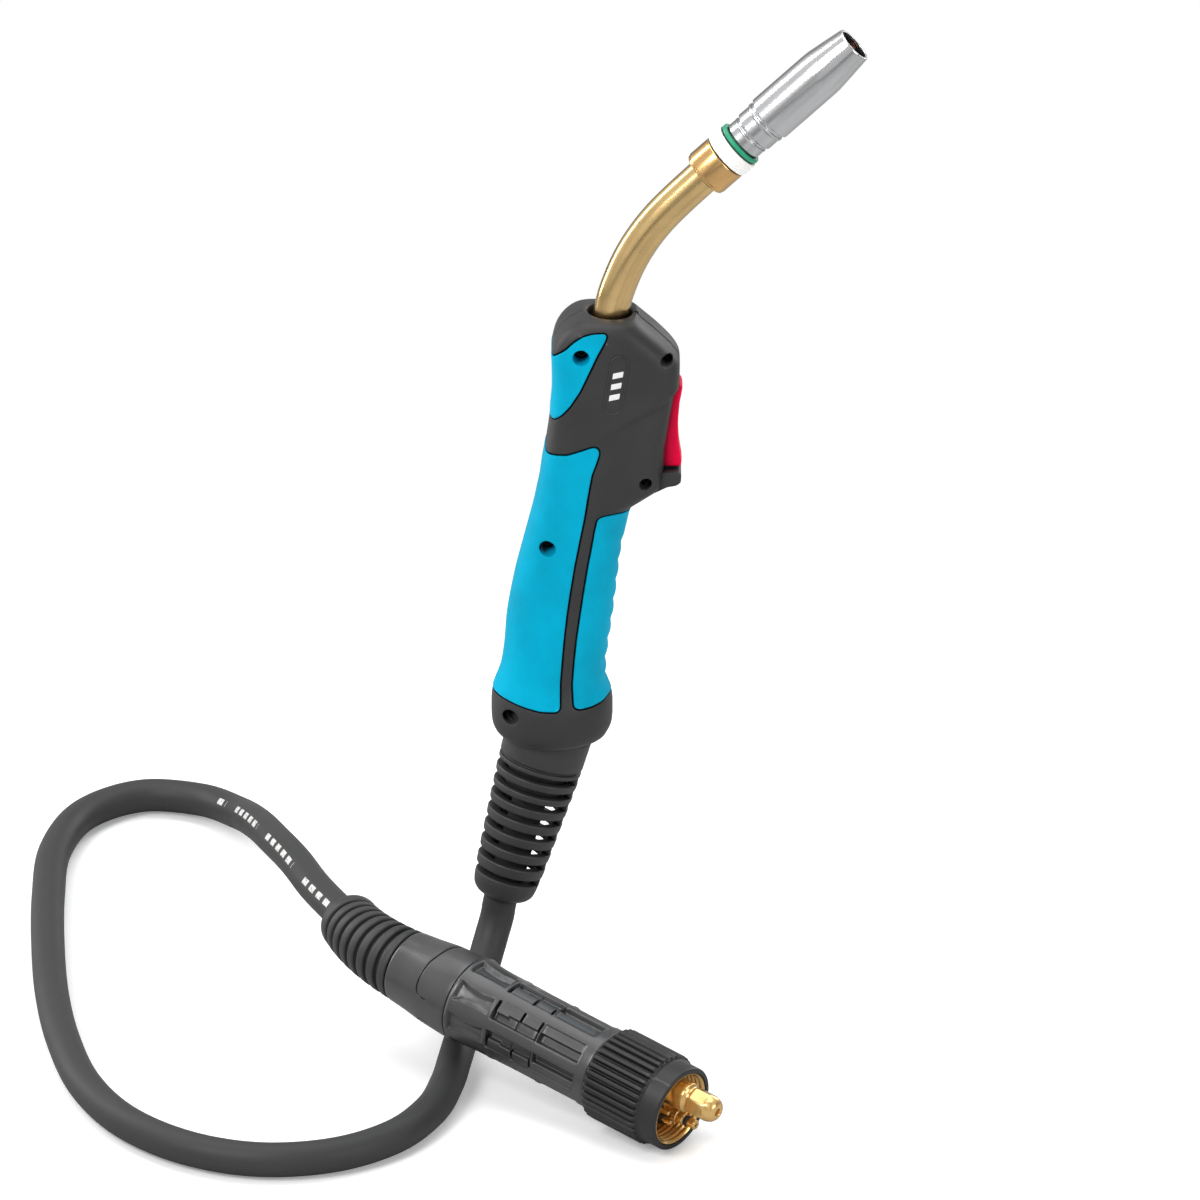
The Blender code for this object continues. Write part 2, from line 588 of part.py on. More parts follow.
def build_ball():
    """Make the hollow ball whose stem turns in the boot."""
    high = math.asin(10.0 / BALL_R)
    low = math.asin(-9.0 / BALL_R)
    arc = [high + (low - high) * step / 7 for step in range(8)]
    profile = [(8.2, 10.0)] + [(BALL_R * math.cos(angle), BALL_R * math.sin(angle)) for angle in arc]
    profile += [(12.0, -9.0), (12.0, -24.0), (8.2, -24.0)]
    turned("swivel_ball", tuple(profile), "boot_rubber", LEAD, 24)


def slot_mesh():
    """Return the arc-shaped cutters that open the boot between its rings."""
    points = []
    faces = []
    for level, distance in enumerate(SLOT_LEVELS):
        for half in (0, 1):
            start = math.pi * half + math.pi / 2.0 * (level % 2) + math.radians(17.0)
            base = len(points)
            for step in range(SLOT_STEPS + 1):
                angle = start + math.radians(146.0) * step / SLOT_STEPS
                for radius, height in ((7.9, 1.5), (24.0, 1.5), (24.0, -1.5), (7.9, -1.5)):
                    points.append((radius * math.cos(angle), radius * math.sin(angle), height - distance))
            for step in range(SLOT_STEPS):
                low = base + 4 * step
                for corner in range(4):
                    after = (corner + 1) % 4
                    faces.append((low + corner, low + after, low + 4 + after, low + 4 + corner))
            faces.append((base, base + 1, base + 2, base + 3))
            end = base + 4 * SLOT_STEPS
            faces.append((end, end + 1, end + 2, end + 3))
    return mesh_from("slots", points, faces)


def build_boot():
    """Make the slotted boot under the ball."""
    profile = down((
        (12.4, 9.6), (16.8, 9.6), (17.0, 14.0), (18.4, 17.0), (18.6, 19.3), (17.9, 19.8), (17.9, 20.8),
        (18.1, 21.4), (14.6, 69.5), (14.0, 71.2), (13.8, 76.0), (12.9, 79.8), (10.6, 82.0), (8.2, BOOT_END),
        (BORE_R, BOOT_END), (BORE_R, 74.0), (9.2, 72.9), (11.3, 25.2), (12.4, 24.6)))
    boot = turned("strain_relief_boot", profile, "boot_rubber", LEAD, 20)
    apply_boolean(boot, make_cutter("slots", slot_mesh(), LEAD))


def plug_boot_spine():
    """Return points and directions along the bent boot behind the plug."""
    place = PLUG_NOSE.matrix_basis @ Vector((0.0, 0.0, JUNCTION * MM))
    place = place / MM
    heading = PLUG_NOSE.matrix_basis.to_3x3() @ Vector((0.0, 0.0, -1.0))
    start = math.atan2(heading.y, heading.x)
    spine = [(place, heading)]
    count = 24
    for step in range(1, count + 1):
        share = (step - 0.5) / count
        turn = start + BOOT_BEND * share
        rise = math.sin(-PLUG_DIP) * (1.0 - share)
        flat = math.sqrt(1.0 - rise * rise)
        heading = Vector((flat * math.cos(turn), flat * math.sin(turn), rise))
        place = place + heading * (PLUG_BOOT_LENGTH / count)
        spine.append((place.copy(), heading))
    return spine


def ring_at(place, heading, radius, sides):
    """Return a circle of points square to a heading."""
    across = heading.cross(Vector((0.0, 0.0, 1.0))).normalized()
    over = across.cross(heading)
    ring = []
    for step in range(sides):
        angle = math.tau * step / sides
        ring.append(place + across * (radius * math.cos(angle)) + over * (radius * math.sin(angle)))
    return ring


def build_plug_boot():
    """Make the ribbed, bent boot behind the plug."""
    spine = plug_boot_spine()
    rings = []
    for index, (place, heading) in enumerate(spine):
        share = index / (len(spine) - 1)
        radius = 15.4 - 2.9 * share
        groove = index % 3 == 2 and index < 23
        rings.append(ring_at(place, heading, radius - (2.2 if groove else 0.0), 16))
    for place, heading in spine[-1:0:-3]:
        rings.append(ring_at(place, heading, BORE_R, 16))
    rings.append(ring_at(*spine[0], BORE_R, 16))
    make_object("plug_boot", ring_mesh("plug_boot", rings, False, True), "boot_rubber", TORCH)


def build_cable():
    """Make the lead from inside the ball, over the floor, to the plug's ferrule."""
    axis = LEAD.matrix_basis.to_3x3() @ Vector((0.0, 0.0, -1.0))
    line = [axis * distance for distance in (-8.0, 20.0, 50.0, 83.0)]
    spine = plug_boot_spine()
    line += smooth_path(LEAD_PATH + (tuple(spine[-1][0] + spine[-1][1] * 1.0),), 2)
    line += [place for place, heading in spine[-4:0:-4]]
    inward = PLUG_NOSE.matrix_basis.to_3x3() @ Vector((0.0, 0.0, 1.0))
    line += [spine[0][0], spine[0][0] + inward * 30.0, spine[0][0] + inward * 62.0]
    make_object("cable", wire_curve("cable", line, CABLE_R, 2), "cable_rubber", TORCH)


def round_ring(radius, height, sides):
    """Return a circle about the local Z."""
    return [(radius * math.cos(math.tau * i / sides), radius * math.sin(math.tau * i / sides), height)
            for i in range(sides)]


def ribbed_ring(radius, groove, height):
    """Return a section through the nut's ribs."""
    ring = []
    for index in range(4 * RIBS):
        angle = math.tau * index / (4 * RIBS)
        reach = radius if index % 4 in (0, 1) else radius - groove
        ring.append((reach * math.cos(angle), reach * math.sin(angle), height))
    return ring


def build_nut():
    """Make the plastic adaptor nut and its threaded insert."""
    sides = 4 * RIBS
    rings = [
        round_ring(16.4, 0.3, sides), round_ring(18.2, 0.3, sides), round_ring(18.6, -0.4, sides),
        round_ring(18.6, -8.0, sides), ribbed_ring(20.3, 1.2, -9.2), ribbed_ring(20.3, 1.2, -37.0),
        ribbed_ring(19.4, 0.4, -38.0), round_ring(13.0, -38.0, sides), round_ring(13.0, -26.4, sides),
        round_ring(16.4, -26.4, sides),
    ]
    make_object("adaptor_nut", ring_mesh("nut", rings, False, True), "nut_black", PLUG_NOSE)
    inner = []
    for turn in range(4):
        inner += [(15.5, -8.0 + 2.0 * turn - 0.4), (14.9, -8.0 + 2.0 * turn + 0.6)]
    profile = ((16.1, 0.0), (16.1, -26.0), (15.1, -26.0), (15.1, -9.4)) + tuple(inner) + ((15.5, 0.0),)
    turned("nut_insert", profile, "plug_brass", PLUG_NOSE, 28)


def hex_ring(flat, limit, height, sides):
    """Return a hexagonal section with rounded corners."""
    ring = []
    for index in range(sides):
        angle = math.tau * index / sides
        within = (angle + math.pi / 6.0) % (math.pi / 3.0) - math.pi / 6.0
        reach = min(limit, flat / math.cos(within))
        ring.append((reach * math.cos(angle), reach * math.sin(angle), height))
    return ring


def build_contacts():
    """Make the plug's brass body, main pin, gas nipple and control pins."""
    profile = ((0.0, -10.0), (14.2, -10.0), (14.5, -10.4), (14.5, -14.0), (12.6, -14.5), (12.6, -58.0), (0.0, -58.0))
    body = turned("plug_body", profile, "plug_brass", PLUG_NOSE, 28)
    bore = ((0.0, -5.0), (2.75, -5.0), (2.75, -24.0), (0.0, -24.0))
    for index, (x, y) in enumerate(CONTROL_PINS):
        number = str(index + 1)
        apply_boolean(body, turned_cutter("pin_seat_" + number, bore, PLUG_NOSE, 16, (x, y, 0.0)))
        sleeve = ((1.5, -9.2), (2.1, -9.2), (2.4, -9.6), (2.4, -21.0), (1.5, -21.0))
        turned("pin_insulator_" + number, sleeve, "nut_black", PLUG_NOSE, 16, (x, y, 0.0))
        pin = ((0.0, -4.2), (0.8, -4.3), (1.15, -4.8), (1.15, -20.0), (0.0, -20.0))
        turned("control_pin_" + number, pin, "plug_brass", PLUG_NOSE, 12, (x, y, 0.0))
    sides = 24
    rings = [
        round_ring(1.5, 9.0, sides), round_ring(1.5, 17.0, sides), round_ring(3.6, 17.0, sides),
        round_ring(4.6, 16.0, sides), round_ring(5.1, 13.0, sides), hex_ring(4.9, 5.4, 11.5, sides),
        hex_ring(4.9, 5.4, 0.5, sides), round_ring(5.6, -0.4, sides), round_ring(6.2, -1.0, sides),
        round_ring(6.2, -9.65, sides),
    ]
    pin = make_object("main_pin", ring_mesh("main_pin", rings), "plug_brass", PLUG_NOSE)
    pin.location = Vector((MAIN_PIN[0], MAIN_PIN[1], 0.0)) * MM
    at = (NIPPLE[0], NIPPLE[1], 0.0)
    nipple = ((0.8, 0.6), (1.8, 0.6), (2.3, 0.0), (2.3, -1.6), (1.4, -1.7), (1.4, -3.5), (2.3, -3.6), (2.6, -4.4),
              (2.6, -9.65), (0.8, -9.65))
    turned("gas_nipple", nipple, "plug_brass", PLUG_NOSE, 14, at)
    seal = [(2.3 + 0.55 * math.cos(math.tau * i / 6), -2.62 - 0.55 * math.sin(math.tau * i / 6)) for i in range(6)]
    turned("nipple_seal", tuple(seal), "boot_rubber", PLUG_NOSE, 12, at)
    ferrule = ((0.0, -58.4), (8.0, -58.4), (8.0, -76.0), (10.2, -77.0), (10.2, -106.0), (BORE_R, -106.0),
               (BORE_R, -84.0), (0.0, -84.0))
    turned("cable_ferrule", ferrule, "plug_brass", PLUG_NOSE, 20)


def pocket_depth(angle, height):
    """Return how deep the grip pockets are at a place on the front housing."""
    column = (angle / math.tau * GRIP_COLUMNS) % 1.0
    if 0.12 < column < 0.88:
        for top, bottom in ((-57.0, -78.0), (-83.0, -101.0)):
            if bottom < height < top:
                return 0.9
    return 0.0


def build_housings():
    """Make the front grip housing and the smooth rear housing."""
    sides = 6 * GRIP_COLUMNS
    rings = []
    for height, radius in ((-38.4, 17.2), (-39.2, 17.8), (-56.5, 17.8), (-57.5, 17.8), (-77.5, 17.9), (-78.5, 17.9),
                           (-82.5, 17.9), (-83.5, 17.9), (-100.5, 18.0), (-101.5, 18.1), (-107.0, 18.7),
                           (-112.6, 19.2), (-113.2, 18.7)):
        ring = []
        for index in range(sides):
            angle = math.tau * (index + 0.5) / sides
            reach = radius - pocket_depth(angle, height)
            ring.append((reach * math.cos(angle), reach * math.sin(angle), height))
        rings.append(ring)
    rings += [round_ring(14.4, -113.2, sides), round_ring(14.4, -38.4, sides)]
    make_object("plug_housing", ring_mesh("housing", rings, False, True), "plug_black", PLUG_NOSE)
    profile = ((14.0, -113.6), (18.3, -113.6), (18.8, -114.2), (18.6, -120.0), (17.9, -130.0), (16.6, -140.0),
               (15.8, -147.4), (15.3, -148.4), (BORE_R, -148.4), (BORE_R, -146.0), (12.2, -144.0), (14.0, -120.0))
    turned("plug_rear_housing", profile, "plug_black", PLUG_NOSE, 28)


def build_all():
    """Make every sub-part."""
    for label, side in (("front", -1), ("back", 1)):
        build_shell(label, side)
        for name, outline in PADS:
            build_pad(name, outline, label, side)
    for index in range(len(SCREWS)):
        build_screw(index)
    build_trigger()
    build_badge()
    build_neck()
    build_front_end()
    build_ball()
    build_boot()
    build_plug_boot()
    build_cable()
    build_nut()
    build_contacts()
    build_housings()


PADS = (("thumb_pad", THUMB_PAD), ("palm_grip", PALM_PAD), ("finger_grip", FINGER_PAD))
clear_scene()
PART = make_collection("mig_welding_torch")
CUTTERS = make_collection("cutters")
TORCH = make_frame("torch_frame", BALL_AT, Matrix.Identity(4))
NECK_AT = (NECK_FRONT[0], 0.0, NECK_FRONT[1])
FRONT = make_frame("front_frame", NECK_AT, Matrix.Rotation(NECK_LEAN, 4, "Y"), TORCH)
LEAD_AXIS = Vector((math.sin(LEAD_LEAN) * math.cos(LEAD_FORWARD), math.sin(LEAD_FORWARD),
                    math.cos(LEAD_LEAN) * math.cos(LEAD_FORWARD)))
LEAD = make_frame("lead_frame", (0.0, 0.0, 0.0), LEAD_AXIS.to_track_quat("Z", "Y").to_matrix(), TORCH)
NOSE = Vector((math.cos(PLUG_DIP) * math.cos(PLUG_TURN), math.cos(PLUG_DIP) * math.sin(PLUG_TURN),
               math.sin(PLUG_DIP)))
UP = Vector((0.0, 0.0, 1.0))
ACROSS = UP.cross(NOSE).normalized()
ABOVE = NOSE.cross(ACROSS)
NOSE_TURN = Matrix((ACROSS, ABOVE, NOSE)).transposed()
PLUG_NOSE = make_frame("plug_frame", PLUG_AT, NOSE_TURN, TORCH)
build_all()
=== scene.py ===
"""Looks of the MIG welding torch: fine shapes, materials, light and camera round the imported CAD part."""
import math

import bpy
import numpy as np
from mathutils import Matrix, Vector
from mathutils.geometry import delaunay_2d_cdt
from mathutils.kdtree import KDTree


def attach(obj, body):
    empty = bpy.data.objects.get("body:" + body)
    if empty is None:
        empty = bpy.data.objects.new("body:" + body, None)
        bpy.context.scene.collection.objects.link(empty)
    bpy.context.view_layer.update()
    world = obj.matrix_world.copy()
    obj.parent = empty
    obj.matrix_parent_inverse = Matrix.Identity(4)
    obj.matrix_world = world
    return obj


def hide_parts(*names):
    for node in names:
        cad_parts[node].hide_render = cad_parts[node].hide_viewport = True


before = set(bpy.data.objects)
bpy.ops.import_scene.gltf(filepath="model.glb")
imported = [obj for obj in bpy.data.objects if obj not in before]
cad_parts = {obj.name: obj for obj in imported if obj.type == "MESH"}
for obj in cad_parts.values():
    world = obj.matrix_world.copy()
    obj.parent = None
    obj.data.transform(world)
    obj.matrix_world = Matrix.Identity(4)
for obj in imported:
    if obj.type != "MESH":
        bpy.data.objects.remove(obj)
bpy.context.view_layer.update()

MM = 0.001
BALL_AT = (48.7, -2.4, 128.0)


# ---------------------------------------------------------------- frames


def move_by(x, y, z):
    """Return a shift as a 4 x 4 array."""
    made = np.eye(4)
    made[:3, 3] = (x, y, z)
    return made


def turn_y(angle):
    """Return a turn about Y as a 4 x 4 array."""
    made = np.eye(4)
    made[0, 0] = made[2, 2] = math.cos(angle)
    made[0, 2] = math.sin(angle)
    made[2, 0] = -math.sin(angle)
    return made


def stand_along(axis, above):
    """Return a frame whose Z runs along an axis."""
    axis = np.array(axis, float)
    axis /= np.linalg.norm(axis)
    across = np.cross(above, axis)
    across /= np.linalg.norm(across)
    made = np.eye(4)
    made[:3, 0] = across
    made[:3, 1] = np.cross(axis, across)
    made[:3, 2] = axis
    return made


LEAD_LEAN = math.radians(15.7)
LEAD_FORWARD = math.radians(6.0)
LEAD_AXIS = np.array((math.sin(LEAD_LEAN) * math.cos(LEAD_FORWARD), math.sin(LEAD_FORWARD),
                      math.cos(LEAD_LEAN) * math.cos(LEAD_FORWARD)))
PLUG_TURN = math.radians(-38.66)
PLUG_DIP = math.radians(-8.4)
NOSE = np.array((math.cos(PLUG_DIP) * math.cos(PLUG_TURN), math.cos(PLUG_DIP) * math.sin(PLUG_TURN),
                 math.sin(PLUG_DIP)))
PLUG_AT = np.array((53.2, -154.2, -108.9))
TORCH = move_by(*BALL_AT)
FRONT = TORCH @ move_by(63.1, 0.0, 247.0) @ turn_y(math.radians(46.8))
LEAD = TORCH @ stand_along(LEAD_AXIS, (0.0, 1.0, 0.0))
PLUG = TORCH @ move_by(*PLUG_AT) @ stand_along(NOSE, (0.0, 0.0, 1.0))


def place(points, where):
    """Return points in millimetres moved into the world in metres."""
    points = np.asarray(points, float)
    return (points @ where[:3, :3].T + where[:3, 3]) * MM


# ---------------------------------------------------------------- materials


def shader_nodes(name):
    """Return a new material's nodes, links and main shader."""
    made = bpy.data.materials.new(name)
    made.use_nodes = True
    tree = made.node_tree
    return made, tree.nodes, tree.links, tree.nodes["Principled BSDF"]


def feed(links, socket, value):
    """Give a socket a value, or a link where the value is another node's output."""
    if hasattr(value, "is_output"):
        links.new(value, socket)
    else:
        socket.default_value = value


def add_noise(nodes, links, vector, scale, detail, roughness=0.5):
    """Add a noise texture."""
    noise = nodes.new("ShaderNodeTexNoise")
    noise.inputs["Scale"].default_value = scale
    noise.inputs["Detail"].default_value = detail
    noise.inputs["Roughness"].default_value = roughness
    links.new(vector, noise.inputs["Vector"])
    return noise.outputs["Fac"]


def add_range(nodes, links, source, low, high, to_low, to_high):
    """Map one range of values on to another, held at its ends."""
    node = nodes.new("ShaderNodeMapRange")
    for slot, value in zip((1, 2, 3, 4), (low, high, to_low, to_high)):
        node.inputs[slot].default_value = value
    links.new(source, node.inputs[0])
    return node.outputs[0]


def add_mix(nodes, links, factor, first, second):
    """Mix two colours; each is a socket or a colour."""
    node = nodes.new("ShaderNodeMix")
    node.data_type = "RGBA"
    for slot, value in ((0, factor), (6, first), (7, second)):
        feed(links, node.inputs[slot], value)
    return node.outputs[2]


def add_math(nodes, links, operation, *values):
    """Work out one step of arithmetic on sockets or numbers."""
    node = nodes.new("ShaderNodeMath")
    node.operation = operation
    for socket, value in zip(node.inputs, values):
        feed(links, socket, value)
    return node.outputs[0]


def add_bump(nodes, links, height, strength, distance, below=None):
    """Add a bump on top of another."""
    node = nodes.new("ShaderNodeBump")
    node.inputs["Strength"].default_value = strength
    node.inputs["Distance"].default_value = distance
    links.new(height, node.inputs["Height"])
    if below is not None:
        links.new(below, node.inputs["Normal"])
    return node.outputs["Normal"]


def tone(colour, factor):
    """Return a colour made lighter or darker."""
    return tuple(min(1.0, channel * factor) for channel in colour[:3]) + (1.0,)


# Each noise is a scale in turns per metre, a detail and a roughness; bump heights are in metres.
BLOTCH = (38.0, 4.0, 0.6)
SPECK = (420.0, 5.0, 0.65)
CLOUD = (60.0, 5.0, 0.62)
SPOTS = (700.0, 3.0, 0.6)
GRAIN_HEIGHT, SPECK_HEIGHT, MARK_HEIGHT = 0.00006, 0.0002, 0.00012
# How far the painted crevice shade looks for nearby surfaces, in metres.
PAINTED_SHADE_REACH = 0.0028


def moulded(name, colour, roughness=0.5, grain=2600.0, depth=0.25, worn=1.6, specular=0.5, vary=0.12):
    """Return a moulded plastic or rubber with grain, faint blotches, lighter worn edges and painted shade
    darkening its creases and hollows.
    """
    made, nodes, links, shader = shader_nodes(name)
    at = nodes.new("ShaderNodeTexCoord").outputs["Object"]
    blotch = add_noise(nodes, links, at, *BLOTCH)
    fine = add_noise(nodes, links, at, grain, 3.0, 0.6)
    speck = add_noise(nodes, links, at, *SPECK)
    spread = add_range(nodes, links, blotch, 0.3, 0.7, 0.0, 1.0)
    base = add_mix(nodes, links, spread, tone(colour, 1.0 - vary), tone(colour, 1.0 + vary))
    dust = add_range(nodes, links, speck, 0.52, 0.75, 0.0, 0.16)
    base = add_mix(nodes, links, dust, base, tone(colour, 1.35))
    edge = nodes.new("ShaderNodeNewGeometry").outputs["Pointiness"]
    wear = add_range(nodes, links, edge, 0.53, 0.62, 0.0, 0.55)
    base = add_mix(nodes, links, wear, base, tone([channel + 0.02 for channel in colour], worn))
    # Painted shade: the base colour is darkened where ambient occlusion finds creases, recesses and gaps
    # between parts.
    painted_crevice_shade = nodes.new("ShaderNodeAmbientOcclusion")
    painted_crevice_shade.samples = 6
    painted_crevice_shade.inputs["Distance"].default_value = PAINTED_SHADE_REACH
    hidden = add_range(nodes, links, painted_crevice_shade.outputs["AO"], 0.45, 0.95, 0.85, 0.0)
    base = add_mix(nodes, links, hidden, base, tone(colour, 0.12))
    links.new(base, shader.inputs["Base Color"])
    rough = add_range(nodes, links, blotch, 0.25, 0.75, roughness - 0.06, roughness + 0.08)
    links.new(rough, shader.inputs["Roughness"])
    low = add_bump(nodes, links, fine, depth, GRAIN_HEIGHT)
    links.new(add_bump(nodes, links, speck, 0.06, SPECK_HEIGHT, low), shader.inputs["Normal"])
    shader.inputs["Specular IOR Level"].default_value = specular
    return made


def metal(name, colour, roughness, along, across, depth, vary, dark, stain, painted_rim_shade=0.7, solid=1.0):
    """Return a metal with tool marks that follow the piece's own u and v, stains, bright edges and a painted
    dark rim; where the marks run along the piece, their dark lines are painted reflection streaks.
    """
    made, nodes, links, shader = shader_nodes(name)
    coords = nodes.new("ShaderNodeTexCoord")
    stretch = nodes.new("ShaderNodeMapping")
    stretch.inputs["Scale"].default_value = (along, across, 1.0)
    links.new(coords.outputs["UV"], stretch.inputs["Vector"])
    marks = add_noise(nodes, links, stretch.outputs["Vector"], 1.0, 4.0, 0.7)
    cloud = add_noise(nodes, links, coords.outputs["Object"], *CLOUD)
    spots = add_noise(nodes, links, coords.outputs["Object"], *SPOTS)
    spread = add_range(nodes, links, cloud, 0.3, 0.72, 0.0, 1.0)
    base = add_mix(nodes, links, spread, tone(colour, 1.0 - vary), tone(colour, 1.0 + vary))
    # Dark lines in the colour: turning marks where they run round the piece, painted reflection streaks along
    # the chrome, neck and collar.
    lines = add_range(nodes, links, marks, 0.45, 0.8, 0.0, 0.5)
    base = add_mix(nodes, links, lines, base, tone(colour, dark))
    stained = add_range(nodes, links, spots, 0.6, 0.78, 0.0, stain)
    base = add_mix(nodes, links, stained, base, tone(colour, dark * 0.7))
    edge = nodes.new("ShaderNodeNewGeometry").outputs["Pointiness"]
    wear = add_range(nodes, links, edge, 0.53, 0.6, 0.0, 0.6)
    base = add_mix(nodes, links, wear, base, tone(colour, 1.35))
    # Painted shade: the colour darkens towards the rims, where the surface turns away from the camera.
    facing = nodes.new("ShaderNodeLayerWeight")
    facing.inputs["Blend"].default_value = 0.5
    rim = add_range(nodes, links, facing.outputs["Facing"], 0.45, 0.98, 0.0, painted_rim_shade)
    base = add_mix(nodes, links, rim, base, tone(colour, 0.3))
    links.new(base, shader.inputs["Base Color"])
    shader.inputs["Metallic"].default_value = solid
    rough = add_range(nodes, links, marks, 0.3, 0.8, roughness * 0.75, roughness * 1.5)
    links.new(rough, shader.inputs["Roughness"])
    links.new(add_bump(nodes, links, marks, depth, MARK_HEIGHT), shader.inputs["Normal"])
    return made


DASH_SIDE, DASH_HALF = 0.42, 0.032      # shares of the way round the lead
DASH_FROM = 790.0
DASH_PITCH, DASH_SHARE = 9.0, 0.62
GROUP_PITCH, GROUP_SHARE = 63.0, 0.72
DASH_WHITE = (0.72, 0.72, 0.7, 1.0)


def printed_cable(name, colour):
    """Return the lead's rubber with plain white dashes along one stretch."""
    made = moulded(name, colour, 0.55, 1500.0, 0.35, 1.3, 0.4, 0.1)
    nodes, links = made.node_tree.nodes, made.node_tree.links
    shader = nodes["Principled BSDF"]
    coords = nodes.new("ShaderNodeTexCoord")
    split = nodes.new("ShaderNodeSeparateXYZ")
    links.new(coords.outputs["UV"], split.inputs[0])
    around, along = split.outputs[0], split.outputs[1]

    def step(operation, *values):
        return add_math(nodes, links, operation, *values)

    def repeat(pitch, share):
        return step("LESS_THAN", step("FRACT", step("MULTIPLY", along, 1.0 / pitch)), share)

    wear = add_noise(nodes, links, coords.outputs["Object"], 900.0, 4.0, 0.7)
    limits = (repeat(DASH_PITCH, DASH_SHARE), repeat(GROUP_PITCH, GROUP_SHARE),
              step("GREATER_THAN", wear, 0.4), step("GREATER_THAN", along, DASH_FROM))
    shown = step("LESS_THAN", step("ABSOLUTE", step("SUBTRACT", around, DASH_SIDE)), DASH_HALF)
    for limit in limits:
        shown = step("MULTIPLY", shown, limit)
    before = shader.inputs["Base Color"].links[0].from_socket
    links.new(add_mix(nodes, links, shown, before, DASH_WHITE), shader.inputs["Base Color"])
    return made


# Colour, roughness, grain's scale and depth, brightness of worn edges, specular level, blotches.
MOULDED = {
    "shell_black": ((0.033, 0.033, 0.0345), 0.5, 2200.0, 0.4, 3.2, 0.35),
    "pad_blue": ((0.0, 0.39, 0.6), 0.65, 3200.0, 0.12, 1.35, 0.06),
    "trigger_red": ((0.9, 0.0, 0.055), 0.5, 2600.0, 0.08, 1.15, 0.1),
    "badge_black": ((0.04, 0.04, 0.042), 0.42, 2600.0, 0.2, 2.0),
    "badge_white": ((0.85, 0.85, 0.85), 0.45, 2600.0, 0.05, 1.05, 0.4, 0.03),
    "boot_rubber": ((0.035, 0.035, 0.036), 0.5, 1800.0, 0.35, 2.8, 0.45),
    "plug_black": ((0.043, 0.043, 0.0445), 0.32, 2400.0, 0.3, 2.6, 0.8),
    "nut_black": ((0.017, 0.017, 0.0178), 0.42, 1500.0, 0.6, 2.8, 0.45),
    "switch_grey": ((0.16, 0.16, 0.17),),
    "insulator_white": ((0.97, 0.97, 0.94), 0.35, 2600.0, 0.1, 1.1, 0.5, 0.04),
    "seal_green": ((0.012, 0.33, 0.17), 0.42, 2600.0, 0.1, 1.3, 0.5, 0.08),
}
# Colour, roughness, marks along and across, their depth, blotches, dark marks (painted reflection streaks
# where they run along), stains, painted dark rim shade, metallic.
METALS = {
    "neck_brass": ((0.86, 0.6, 0.27), 0.2, 22.0, 0.008, 0.04, 0.12, 0.3, 0.3, 0.9),
    "collar_brass": ((0.88, 0.54, 0.22), 0.2, 7.0, 0.05, 0.03, 0.08, 0.5, 0.25, 0.95),
    "plug_brass": ((0.88, 0.57, 0.22), 0.2, 1.5, 5.0, 0.04, 0.06, 0.85, 0.1, 0.8, 0.85),
    "copper": ((0.8, 0.36, 0.2), 0.22, 1.5, 5.0, 0.04, 0.08, 0.75, 0.2),
    "chrome": ((0.74, 0.745, 0.755), 0.2, 16.0, 0.02, 0.02, 0.05, 0.45, 0.1, 0.9),
    "steel": ((0.03, 0.03, 0.033), 0.45, 2.0, 5.0, 0.1, 0.15, 0.7, 0.3),
}
LOOKS = {name: moulded(name, *look) for name, look in MOULDED.items()}
LOOKS["cable_rubber"] = printed_cable("cable_rubber", (0.034, 0.034, 0.035))
LOOKS.update({name: metal(name, *look) for name, look in METALS.items()})


# ---------------------------------------------------------------- mesh tools


def add_piece(name, form, look, where, body, nodes):
    """Make a piece from a form of points, faces and uvs, in place of the CAD nodes named."""
    points, faces, uvs = form
    mesh = bpy.data.meshes.new(name)
    corners = [tuple(point) for point in place(points, where)]
    mesh.from_pydata(corners, [], [tuple(int(i) for i in face) for face in faces])
    mesh.validate()
    layer = mesh.uv_layers.new(name="UVMap")
    index = np.empty(len(mesh.loops), np.int32)
    mesh.loops.foreach_get("vertex_index", index)
    layer.data.foreach_set("uv", np.asarray(uvs, np.float32)[index].ravel())
    mesh.polygons.foreach_set("use_smooth", [True] * len(mesh.polygons))
    mesh.materials.append(LOOKS[look])
    made = bpy.data.objects.new(name, mesh)
    bpy.context.scene.collection.objects.link(made)
    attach(made, body)
    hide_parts(*nodes)


def join(forms):
    """Join forms of points, faces and uvs into one."""
    points, faces, uvs = [], [], []
    base = 0
    for form_points, form_faces, form_uvs in forms:
        points.append(np.asarray(form_points, float))
        faces += [tuple(index + base for index in face) for face in form_faces]
        uvs.append(np.asarray(form_uvs, float))
        base += len(form_points)
    return np.vstack(points), faces, np.vstack(uvs)


def run_of(line):
    """Return the distance run along a line at each of its points."""
    return np.concatenate([[0.0], np.cumsum(np.linalg.norm(np.diff(line, axis=0), axis=1))])


def flat_ring(reach, angle, height):
    """Return a level ring of points; reach is one radius or one for each angle."""
    return np.stack([reach * np.cos(angle), reach * np.sin(angle), np.full(len(angle), height)], -1)


def turns(sides):
    """Return the angles of a ring's points."""
    return math.tau * np.arange(sides) / sides


def skin_rings(rings, wrap=False, caps=False):
    """Skin closed rings of equal length; wrap closes the stack on itself."""
    rings = np.asarray(rings, float)
    count, sides = rings.shape[:2]
    points = rings.reshape(-1, 3)
    faces = []
    for level in range(count if wrap else count - 1):
        low = level * sides
        high = ((level + 1) % count) * sides
        for side in range(sides):
            after = (side + 1) % sides
            faces.append((low + side, low + after, high + after, high + side))
    if caps:
        faces.append(tuple(range(sides - 1, -1, -1)))
        faces.append(tuple(range(len(points) - sides, len(points))))
    along = run_of(rings[:, 0])
    uvs = np.stack(np.broadcast_arrays(np.arange(sides) / sides, along[:, None]), -1).reshape(-1, 2)
    return points, faces, uvs


STRAIGHT = -0.995
CUT_LIMIT = 0.48


